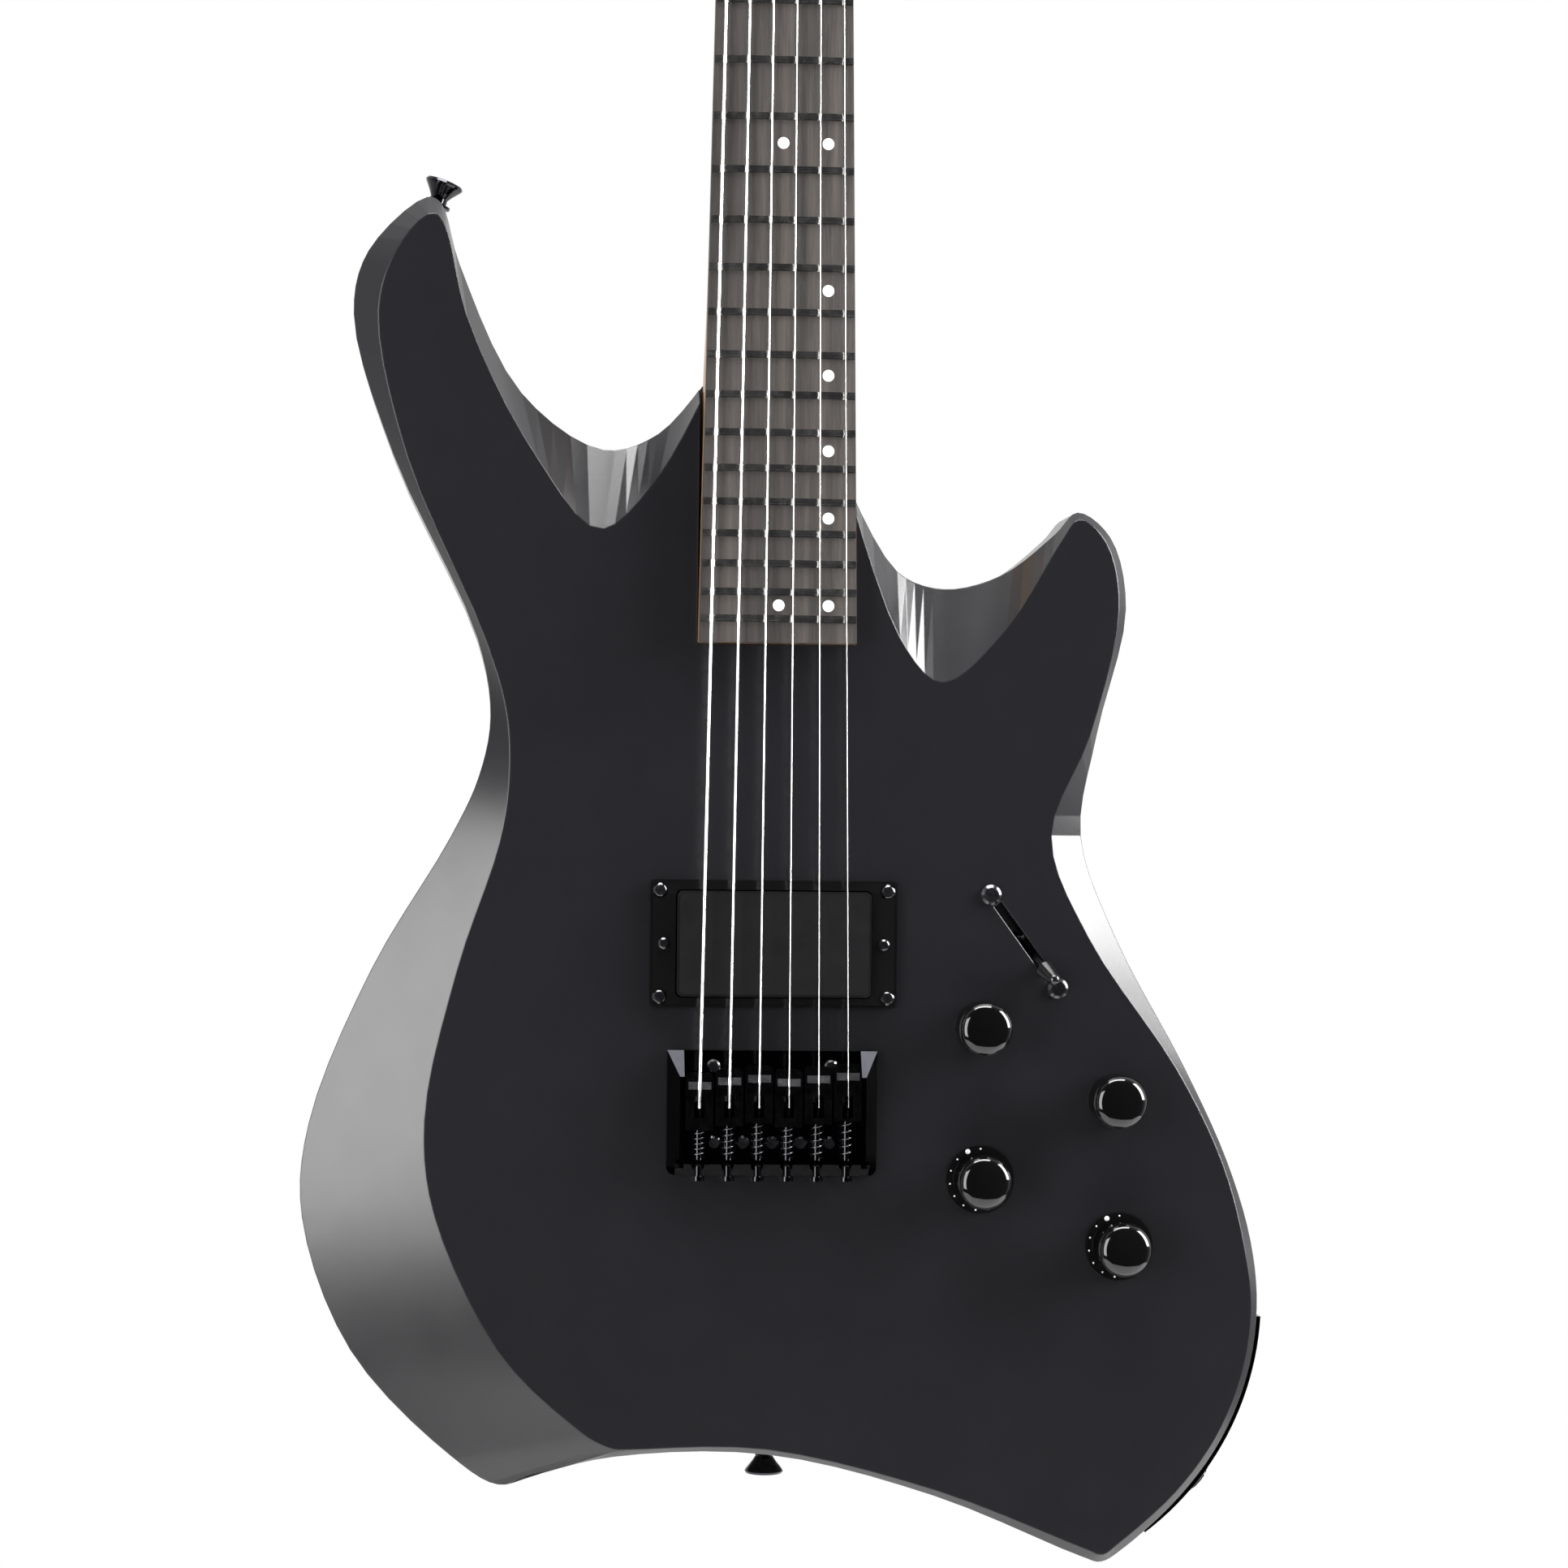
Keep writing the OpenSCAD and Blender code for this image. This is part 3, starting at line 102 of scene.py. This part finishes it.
def noise(tree, vec, scale, detail=4, rough=0.5):
    n = tree.nodes.new("ShaderNodeTexNoise")
    n.inputs["Scale"].default_value = scale
    n.inputs["Detail"].default_value = detail
    n.inputs["Roughness"].default_value = rough
    tree.links.new(vec, n.inputs["Vector"])
    return n.outputs["Fac"]


def ramp(tree, fac, stops):
    """Colour along a factor, through (position, colour) stops."""
    r = tree.nodes.new("ShaderNodeValToRGB")
    e = r.color_ramp.elements
    e[0].position, e[0].color = stops[0][0], (*stops[0][1], 1)
    e[1].position, e[1].color = stops[-1][0], (*stops[-1][1], 1)
    for pos, col in stops[1:-1]:
        x = e.new(pos)
        x.color = (*col, 1)
    tree.links.new(fac, r.inputs["Fac"])
    return r.outputs["Color"]


NOISE_LOW = 0.3
NOISE_HIGH = 0.7


def spread(tree, fac, low, high):
    """Stretches the middle of a noise over the range from low to high."""
    r = tree.nodes.new("ShaderNodeMapRange")
    r.inputs["From Min"].default_value = NOISE_LOW
    r.inputs["From Max"].default_value = NOISE_HIGH
    r.inputs["To Min"].default_value = low
    r.inputs["To Max"].default_value = high
    tree.links.new(fac, r.inputs["Value"])
    return r.outputs["Result"]


def bump(tree, p, height, strength, distance):
    b = tree.nodes.new("ShaderNodeBump")
    b.inputs["Strength"].default_value = strength
    b.inputs["Distance"].default_value = distance
    tree.links.new(height, b.inputs["Height"])
    tree.links.new(b.outputs["Normal"], p.inputs["Normal"])


EDGE_RADIUS = 0.7 * MM
LACQUER_DARK = (0.0068, 0.0067, 0.0080)
LACQUER_PALE = (0.0078, 0.0077, 0.0092)


def lacquer():
    """Satin black lacquer with softened edges and a very fine grain."""
    m, t, p = material("satin_lacquer", (0.006, 0.006, 0.0065), 0.30, coat=0.1, coat_rough=0.2)
    v = object_coords(t)
    t.links.new(spread(t, noise(t, v, 55, 5, 0.6), 0.24, 0.27), p.inputs["Roughness"])
    shade = [(NOISE_LOW, LACQUER_DARK), (NOISE_HIGH, LACQUER_PALE)]
    t.links.new(ramp(t, noise(t, v, 9, 3), shade), p.inputs["Base Color"])
    edge = t.nodes.new("ShaderNodeBevel")
    edge.samples = 6
    edge.inputs["Radius"].default_value = EDGE_RADIUS
    grain = t.nodes.new("ShaderNodeBump")
    grain.inputs["Strength"].default_value = 0.04
    grain.inputs["Distance"].default_value = 0.0003
    t.links.new(noise(t, v, 900, 2, 0.6), grain.inputs["Height"])
    t.links.new(edge.outputs["Normal"], grain.inputs["Normal"])
    t.links.new(grain.outputs["Normal"], p.inputs["Normal"])
    return m


def plastic(name, color, low, high, grain=1500, depth=0.05, spec=0.5):
    """Moulded plastic, its roughness between low and high, with a fine surface grain."""
    m, t, p = material(name, color, (low + high) / 2, spec=spec)
    v = object_coords(t)
    t.links.new(spread(t, noise(t, v, 160, 4, 0.6), low, high), p.inputs["Roughness"])
    dark = tuple(c * 0.8 for c in color)
    shade = [(NOISE_LOW, dark), (NOISE_HIGH, color)]
    t.links.new(ramp(t, noise(t, v, 40, 3), shade), p.inputs["Base Color"])
    bump(t, p, noise(t, v, grain, 3, 0.7), depth, 0.0003)
    return m


def metal(name, color, low, high, brushed=(1, 1, 1), depth=0.02):
    """Plated or bare metal, its roughness between low and high."""
    m, t, p = material(name, color, (low + high) / 2, 1.0)
    v = object_coords(t, brushed)
    t.links.new(spread(t, noise(t, v, 300, 4, 0.6), low, high), p.inputs["Roughness"])
    worn = tuple(min(1, c * 1.15) for c in color)
    t.links.new(ramp(t, noise(t, v, 70, 4), [(0.35, color), (0.75, worn)]), p.inputs["Base Color"])
    bump(t, p, noise(t, v, 1200, 2, 0.5), depth, 0.0002)
    return m


def wood(name, dark, mid, light, rough, stretch, scale, depth):
    """Straight-grained wood: long streaks along Z, short pores across."""
    m, t, p = material(name, mid, rough)
    v = object_coords(t, (1, 1, stretch))
    streak = noise(t, v, scale, 8, 0.65)
    t.links.new(ramp(t, streak, [(0.3, dark), (0.5, mid), (0.72, light)]), p.inputs["Base Color"])
    pores = noise(t, object_coords(t, (1, 1, stretch * 1.8)), scale * 9, 3, 0.7)
    t.links.new(spread(t, pores, rough - 0.08, rough + 0.1), p.inputs["Roughness"])
    bump(t, p, pores, depth, 0.0004)
    return m


M = {
    "body": lacquer(),
    "neck": wood("neck_maple", (0.20, 0.11, 0.05), (0.33, 0.19, 0.09), (0.45, 0.28, 0.14),
                 0.42, 0.06, 60, 0.06),
    "board": wood("dark_fretboard", (0.012, 0.010, 0.009), (0.030, 0.025, 0.022), (0.062, 0.052, 0.046),
                  0.5, 0.045, 170, 0.25),
    "fret": metal("fret_metal", (0.55, 0.54, 0.52), 0.14, 0.24),
    "dot": plastic("pearl_dot", (0.86, 0.86, 0.83), 0.25, 0.4, 800, 0.02),
    "nut": plastic("graphite_nut", (0.03, 0.03, 0.03), 0.4, 0.55),
    "screw": metal("dark_nickel_screw", (0.22, 0.22, 0.23), 0.14, 0.26, depth=0.02),
    "spring": metal("spring_wire", (0.10, 0.10, 0.105), 0.22, 0.34),
    "steel": metal("plain_steel", (0.5, 0.5, 0.51), 0.25, 0.42, (1, 1, 6)),
    "black": metal("black_plating", (0.030, 0.030, 0.034), 0.2, 0.32, depth=0.03),
    "black_gloss": metal("black_chrome", (0.028, 0.028, 0.031), 0.07, 0.14, depth=0.008),
    "bridge": metal("bridge_black_chrome", (0.010, 0.010, 0.0115), 0.1, 0.18, depth=0.008),
    "saddle": metal("saddle_plating", (0.035, 0.035, 0.038), 0.14, 0.24, (1, 1, 1), 0.01),
    "insert": metal("saddle_insert", (0.75, 0.75, 0.77), 0.16, 0.26),
    "ring": plastic("ring_gloss", (0.004, 0.004, 0.004), 0.10, 0.2, 400, 0.01),
    "cover": plastic("pickup_satin", (0.004, 0.004, 0.0045), 0.5, 0.6, 1900, 0.1, 0.12),
    "copper": plastic("coil_wrap", (0.30, 0.12, 0.05), 0.35, 0.5),
    "plain": metal("plain_string", (0.85, 0.84, 0.82), 0.22, 0.34),
    "knob": plastic("knob_gloss", (0.002, 0.002, 0.002), 0.04, 0.08, 500, 0.004),
    "dial": plastic("dial_gloss", (0.003, 0.003, 0.003), 0.08, 0.14, 500, 0.006),
    "tick": plastic("dial_mark", (0.75, 0.75, 0.74), 0.35, 0.5),
    "tip": plastic("lever_tip_gloss", (0.006, 0.006, 0.007), 0.07, 0.15, 600, 0.01),
    "matt": plastic("cover_plastic", (0.016, 0.016, 0.017), 0.42, 0.56, 1700, 0.18),
    "board_green": plastic("solder_resist", (0.01, 0.09, 0.03), 0.3, 0.45),
    "wrap": plastic("battery_wrap", (0.02, 0.03, 0.07), 0.3, 0.45),
}
FINISH = {
    "neck": "neck", "fretboard": "board", "frets": "fret", "inlays": "dot", "nut": "nut",
    "truss_rod": "steel", "truss_cover": "matt", "neck_bolts": "black_gloss", "pickup_ring": "ring",
    "pickup_cover": "cover", "pickup_coils": "copper", "pickup_screws": "screw",
    "bridge_base": "bridge", "bridge_screws": "screw", "string_ferrules": "black_gloss",
    "intonation_screws": "black_gloss", "tuner_housings": "black_gloss",
    "tuner_bushings": "black_gloss", "dial_rings": "dial", "potentiometers": "steel",
    "switch_frame": "steel", "switch_screws": "screw", "jack_plate": "black_gloss",
    "output_jack": "black_gloss", "digital_socket": "matt", "plate_screws": "fret",
    "battery_pack": "wrap", "circuit_board": "board_green", "control_cover": "matt",
    "battery_cover": "matt", "cover_screws": "black", "strap_buttons": "black_gloss",
    "body": "body", "strings": "plain", "intonation_springs": "steel", "switch_lever": "tip",
}
for i in range(1, 7):
    FINISH["saddle_%d" % i] = "saddle"
    FINISH["tuner_post_%d" % i] = "black_gloss"
    FINISH["tuner_key_%d" % i] = "black_gloss"
for k in ("volume", "tone", "model", "tuning"):
    FINISH["knob_" + k] = "knob"
for name, key in FINISH.items():
    for s in nodes[name].material_slots:
        s.material = M[key]

# ---------------------------------------------------------------- mesh helpers
def new_object(name, verts, faces, mat, smooth=True):
    """A mesh object with one material and outward faces."""
    me = bpy.data.meshes.new(name)
    me.from_pydata([tuple(v) for v in verts], [], faces)
    me.validate()
    bm = bmesh.new()
    bm.from_mesh(me)
    bmesh.ops.recalc_face_normals(bm, faces=bm.faces)
    bm.to_mesh(me)
    bm.free()
    me.materials.append(mat)
    for p in me.polygons:
        p.use_smooth = smooth
    o = bpy.data.objects.new(name, me)
    bpy.context.collection.objects.link(o)
    return o


def sharpen(o, degrees):
    """Marks the edges that turn more than the angle as crisp."""
    o.data.set_sharp_from_angle(angle=math.radians(degrees))


def soften(o, width, segments=2, angle=32):
    """Rounds the edges of a hard-edged piece by a small machining radius."""
    b = o.modifiers.new("edge", "BEVEL")
    b.width = width
    b.segments = segments
    b.limit_method = "ANGLE"
    b.angle_limit = math.radians(angle)
    b.harden_normals = False
    w = o.modifiers.new("normals", "WEIGHTED_NORMAL")
    w.keep_sharp = True


# ---------------------------------------------------------------- smooth shading for the CAD nodes
JOIN_GAP = 0.01 * MM
AREA_WEIGHT = 100


def smooth_tree(degrees):
    """Modifier group: joins face edges and shades smoothly, but leaves edges above the angle crisp."""
    g = bpy.data.node_groups.new("smooth_%d" % degrees, "GeometryNodeTree")
    g.interface.new_socket("Geometry", in_out="INPUT", socket_type="NodeSocketGeometry")
    g.interface.new_socket("Geometry", in_out="OUTPUT", socket_type="NodeSocketGeometry")
    start = g.nodes.new("NodeGroupInput")
    end = g.nodes.new("NodeGroupOutput")
    angle = g.nodes.new("GeometryNodeInputMeshEdgeAngle")
    test = g.nodes.new("FunctionNodeCompare")
    test.data_type = "FLOAT"
    test.operation = "LESS_EQUAL"
    test.inputs[1].default_value = math.radians(degrees)
    faces = g.nodes.new("GeometryNodeSetShadeSmooth")
    edges = g.nodes.new("GeometryNodeSetShadeSmooth")
    edges.domain = "EDGE"
    flip = g.nodes.new("FunctionNodeBooleanMath")
    flip.operation = "NOT"
    g.links.new(angle.outputs["Unsigned Angle"], test.inputs[0])
    g.links.new(test.outputs["Result"], flip.inputs[0])
    join = g.nodes.new("GeometryNodeMergeByDistance")
    join.inputs["Distance"].default_value = JOIN_GAP
    g.links.new(start.outputs[0], join.inputs["Geometry"])
    g.links.new(join.outputs[0], faces.inputs["Geometry"])
    g.links.new(faces.outputs[0], edges.inputs["Geometry"])
    g.links.new(flip.outputs[0], edges.inputs["Selection"])
    edges.inputs["Shade Smooth"].default_value = False
    g.links.new(edges.outputs[0], end.inputs[0])
    return g


SMOOTH_ANGLE = {"body": 7, "neck": 24, "jack_plate": 24, "fretboard": 24, "strings": 60}
for name, degrees in SMOOTH_ANGLE.items():
    nodes[name].modifiers.new("smooth", "NODES").node_group = smooth_tree(degrees)
    weight = nodes[name].modifiers.new("normals", "WEIGHTED_NORMAL")
    weight.mode = "FACE_AREA"
    weight.weight = AREA_WEIGHT
    weight.keep_sharp = True


# ---------------------------------------------------------------- crisp edges on CAD nodes
EDGE_WIDTH = {
    "pickup_ring": 0.4, "bridge_base": 0.45, "truss_cover": 0.4, "nut": 0.2, "control_cover": 0.4,
    "battery_cover": 0.4, "tuner_housings": 0.5,
}
SADDLE_EDGE = 0.2 * MM
KEY_EDGE = 0.6 * MM
COVER_EDGE = 0.6 * MM
SMALL_PART_ANGLE = 40
for name, width in EDGE_WIDTH.items():
    soften(nodes[name], width * MM)
for i in range(1, 7):
    soften(nodes["saddle_%d" % i], SADDLE_EDGE, 2, SMALL_PART_ANGLE)
    soften(nodes["tuner_key_%d" % i], KEY_EDGE, 2, SMALL_PART_ANGLE)
soften(nodes["pickup_cover"], COVER_EDGE, 3)

# ---------------------------------------------------------------- saddle inserts, springs, knobs, dial marks
def centre(node):
    """Middle of a CAD node's box."""
    low, high = (Vector(c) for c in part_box(node))
    return (low + high) / 2


def tube(name, path, radius, mat, resolution=3):
    """A round wire through the given points."""
    curve = bpy.data.curves.new(name, "CURVE")
    curve.dimensions = "3D"
    curve.bevel_depth = radius
    curve.bevel_resolution = resolution
    curve.use_fill_caps = True
    line = curve.splines.new("POLY")
    line.points.add(len(path) - 1)
    for point, at in zip(line.points, path):
        point.co = (*at, 1)
    curve.materials.append(mat)
    guide = bpy.data.objects.new(name + "_guide", curve)
    bpy.context.collection.objects.link(guide)
    bpy.context.view_layer.update()
    mesh = bpy.data.meshes.new_from_object(guide.evaluated_get(bpy.context.evaluated_depsgraph_get()))
    bpy.data.objects.remove(guide)
    bpy.data.curves.remove(curve)
    piece = bpy.data.objects.new(name, mesh)
    bpy.context.collection.objects.link(piece)
    return piece


def lathe(name, profile, at, mat, steps=96, radius_at=None):
    """Turns (radius, height) pairs round an axis that points at the player, from the given centre."""
    verts = []
    for r, h in profile:
        for k in range(steps):
            a = 2 * math.pi * k / steps
            q = r if radius_at is None else radius_at(r, h, k)
            verts.append(Vector(at) + Vector((q * math.cos(a), -h, q * math.sin(a))))
    faces = []
    for j in range(len(profile) - 1):
        here = j * steps
        there = here + steps
        for k in range(steps):
            after = (k + 1) % steps
            faces.append((here + k, here + after, there + after, there + k))
    faces.append(tuple(range(steps)))
    faces.append(tuple(len(verts) - 1 - k for k in range(steps)))
    return new_object(name, verts, faces, mat)


INSERT_HALF = (4.1 * MM, 1.35 * MM)
INSERT_RISE = 0.05 * MM
INSERT_BELOW_TOP = 4.4 * MM
BOX_FACES = [(0, 1, 3, 2), (4, 6, 7, 5), (0, 4, 5, 1), (2, 3, 7, 6), (0, 2, 6, 4), (1, 5, 7, 3)]


def insert_facing(i):
    """Bright facing over the insert on which the string rests."""
    low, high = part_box("saddle_%d" % i)
    mid = centre("saddle_%d" % i)
    contact = high[2] - INSERT_BELOW_TOP
    face_y = low[1] - INSERT_RISE
    corners = [(mid.x + sx * INSERT_HALF[0], face_y + dy, contact + sz * INSERT_HALF[1])
               for dy in (0, INSERT_RISE) for sz in (-1, 1) for sx in (-1, 1)]
    facing = new_object("insert_facing_%d" % i, corners, BOX_FACES, M["insert"], False)
    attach(facing, "saddle_%d_body" % i)


SPRING_WIRE = 0.3 * MM
SPRING_R = 1.95 * MM
SPRING_TURNS = 5
SPRING_POINTS = 24
SPRING_TOP_GAP = 0.4 * MM


def spring_coil(i):
    """Spring round an intonation screw, from the tray wall up to its saddle."""
    floor_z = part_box("intonation_springs")[0][2]
    saddle_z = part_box("saddle_%d" % i)[0][2]
    axis_y = centre("intonation_springs").y
    z0 = floor_z + SPRING_WIRE
    z1 = saddle_z - SPRING_TOP_GAP - SPRING_WIRE
    x = centre("saddle_%d" % i).x
    turns = [k / SPRING_POINTS for k in range(SPRING_TURNS * SPRING_POINTS + 1)]
    path = [(x + SPRING_R * math.cos(2 * math.pi * t), axis_y + SPRING_R * math.sin(2 * math.pi * t),
             z0 + (z1 - z0) * t / SPRING_TURNS) for t in turns]
    spring = tube("spring_%d" % i, path, SPRING_WIRE, M["spring"])
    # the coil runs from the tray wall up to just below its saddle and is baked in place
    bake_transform(spring)
    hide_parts("intonation_springs")


for i in range(1, 7):
    insert_facing(i)
for i in range(1, 7):
    spring_coil(i)

KNURLS = 60
KNURL_DEPTH = 0.35 * MM
# radius and height of the turned shape, as shares of the knob's own radius and height
KNOB_PROFILE = [
    (0.001, 1.0), (0.40, 0.995), (0.70, 0.965), (0.85, 0.93), (0.94, 0.87), (0.985, 0.80), (1.0, 0.74),
    (1.0, 0.70), (1.0, 0.04), (0.97, 0.0), (0.35, 0.0),
]
KNURL_TOP = 0.72
KNURL_FROM = 0.99
PLAIN_KNOB_LIFT = 1.0 * MM
DIAL_KNOB_LIFT = 2.4 * MM
SHAFT_R = 3.0 * MM
SHAFT_DEPTH = 12.5 * MM
KNOB_CREASE = 35


def knob(node):
    """Shallow dome over a knurled skirt; the shaft below stays hidden in the wood."""
    low, high = (Vector(c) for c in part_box(node))
    mid = centre(node)
    radius = (high.x - low.x) / 2
    front_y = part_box("body")[0][1]
    lift = DIAL_KNOB_LIFT if node in ("knob_model", "knob_tuning") else PLAIN_KNOB_LIFT
    base_y = front_y - lift
    tall = base_y - low.y
    profile = [(r * radius, h * tall) for r, h in KNOB_PROFILE]

    def knurl(r, h, k):
        in_skirt = h < KNURL_TOP * tall and r > KNURL_FROM * radius
        return r - KNURL_DEPTH if in_skirt and k % 4 < 2 else r

    piece = lathe(node + "_cap", profile, (mid.x, base_y, mid.z), M["knob"], KNURLS * 4, knurl)
    sharpen(piece, KNOB_CREASE)
    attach(piece, node + "_body")
    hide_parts(node)
    shaft_line = [(SHAFT_R, 0.0), (SHAFT_R, -SHAFT_DEPTH)]
    shaft = lathe(node + "_shaft", shaft_line, (mid.x, base_y, mid.z), M["steel"], 32)
    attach(shaft, node + "_body")
    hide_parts(node)


for k in ("volume", "tone", "model", "tuning"):
    knob("knob_" + k)

# printed marks round the two dials: one larger dot and small plain ones
MARK_R = 0.9 * MM
SMALL_MARK_SHARE = 0.35
MARK_AT = 11.1 * MM
MARK_RISE = 0.03 * MM
MARK_COUNT = 12
MARK_START = 90
MARK_SWEEP = 270


def dial_mark(k, j):
    """One printed mark of a dial; the second is the larger dot."""
    mid = centre("knob_" + k)
    face_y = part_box("dial_rings")[0][1]
    a = math.radians(MARK_START + j * MARK_SWEEP / (MARK_COUNT - 1))
    r = MARK_R * (1.0 if j == 1 else SMALL_MARK_SHARE)
    at = (mid.x + MARK_AT * math.cos(a), face_y, mid.z + MARK_AT * math.sin(a))
    mark = lathe("mark_%s_%d" % (k, j), [(r, 0.0), (r, MARK_RISE)], at, M["tick"], 20)
    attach(mark, "root")


for k in ("model", "tuning"):
    for j in range(MARK_COUNT):
        dial_mark(k, j)

# ---------------------------------------------------------------- stage
LIGHT_AIM = Vector((0, 0, 0.2))


def area_light(name, at, size_x, size_y, power):
    """A rectangular softbox pointed at the middle of the guitar."""
    d = bpy.data.lights.new(name, "AREA")
    d.shape = "RECTANGLE"
    d.size, d.size_y, d.energy = size_x, size_y, power
    o = bpy.data.objects.new(name, d)
    bpy.context.collection.objects.link(o)
    o.location = at
    o.rotation_euler = (LIGHT_AIM - Vector(at)).to_track_quat("-Z", "Y").to_euler()


area_light("key_softbox", (1.9, -0.6, 1.0), 1.0, 1.6, 150)
area_light("left_softbox", (-1.45, -1.45, 0.3), 0.9, 1.7, 47)
area_light("top_softbox", (-0.1, -0.6, 2.3), 1.8, 0.8, 90)

FLOOR_Z = -0.75
FLOOR_R = 1.6
FLOOR_DARK = (0.80, 0.80, 0.80)
FLOOR_PALE = (0.84, 0.84, 0.84)


def floor_disc():
    """A pale round floor well below the guitar."""
    bm = bmesh.new()
    bmesh.ops.create_circle(bm, cap_ends=True, segments=96, radius=FLOOR_R)
    me = bpy.data.meshes.new("floor")
    bm.to_mesh(me)
    bm.free()
    floor = bpy.data.objects.new("floor", me)
    floor.location = (0, 0, FLOOR_Z)
    bpy.context.collection.objects.link(floor)
    m, t, p = material("pale_floor", (0.82, 0.82, 0.82), 0.6)
    shade = [(NOISE_LOW, FLOOR_DARK), (NOISE_HIGH, FLOOR_PALE)]
    t.links.new(ramp(t, noise(t, object_coords(t), 6, 4), shade), p.inputs["Base Color"])
    me.materials.append(m)
    return floor


floor_disc()

# pale surroundings: white behind the guitar, dimmer in front so that black surfaces stay black
world = bpy.data.worlds.new("studio")
world.use_nodes = True
bpy.context.scene.world = world
wt = world.node_tree
bg = wt.nodes["Background"]
tc = wt.nodes.new("ShaderNodeTexCoord")
sep = wt.nodes.new("ShaderNodeSeparateXYZ")
wt.links.new(tc.outputs["Generated"], sep.inputs["Vector"])
WORLD_STOPS = [
    (0.0, (0.03, 0.03, 0.033)),
    (0.25, (0.05, 0.05, 0.055)),
    (0.5, (0.7, 0.7, 0.71)),
    (0.6, (1.0, 1.0, 1.0)),
]
mr = wt.nodes.new("ShaderNodeMapRange")
mr.inputs["From Min"].default_value = -1
mr.inputs["From Max"].default_value = 1
wt.links.new(sep.outputs["Y"], mr.inputs["Value"])
wt.links.new(ramp(wt, mr.outputs["Result"], WORLD_STOPS), bg.inputs["Color"])
bg.inputs["Strength"].default_value = 1.0
bpy.context.scene.view_settings.view_transform = "Standard"
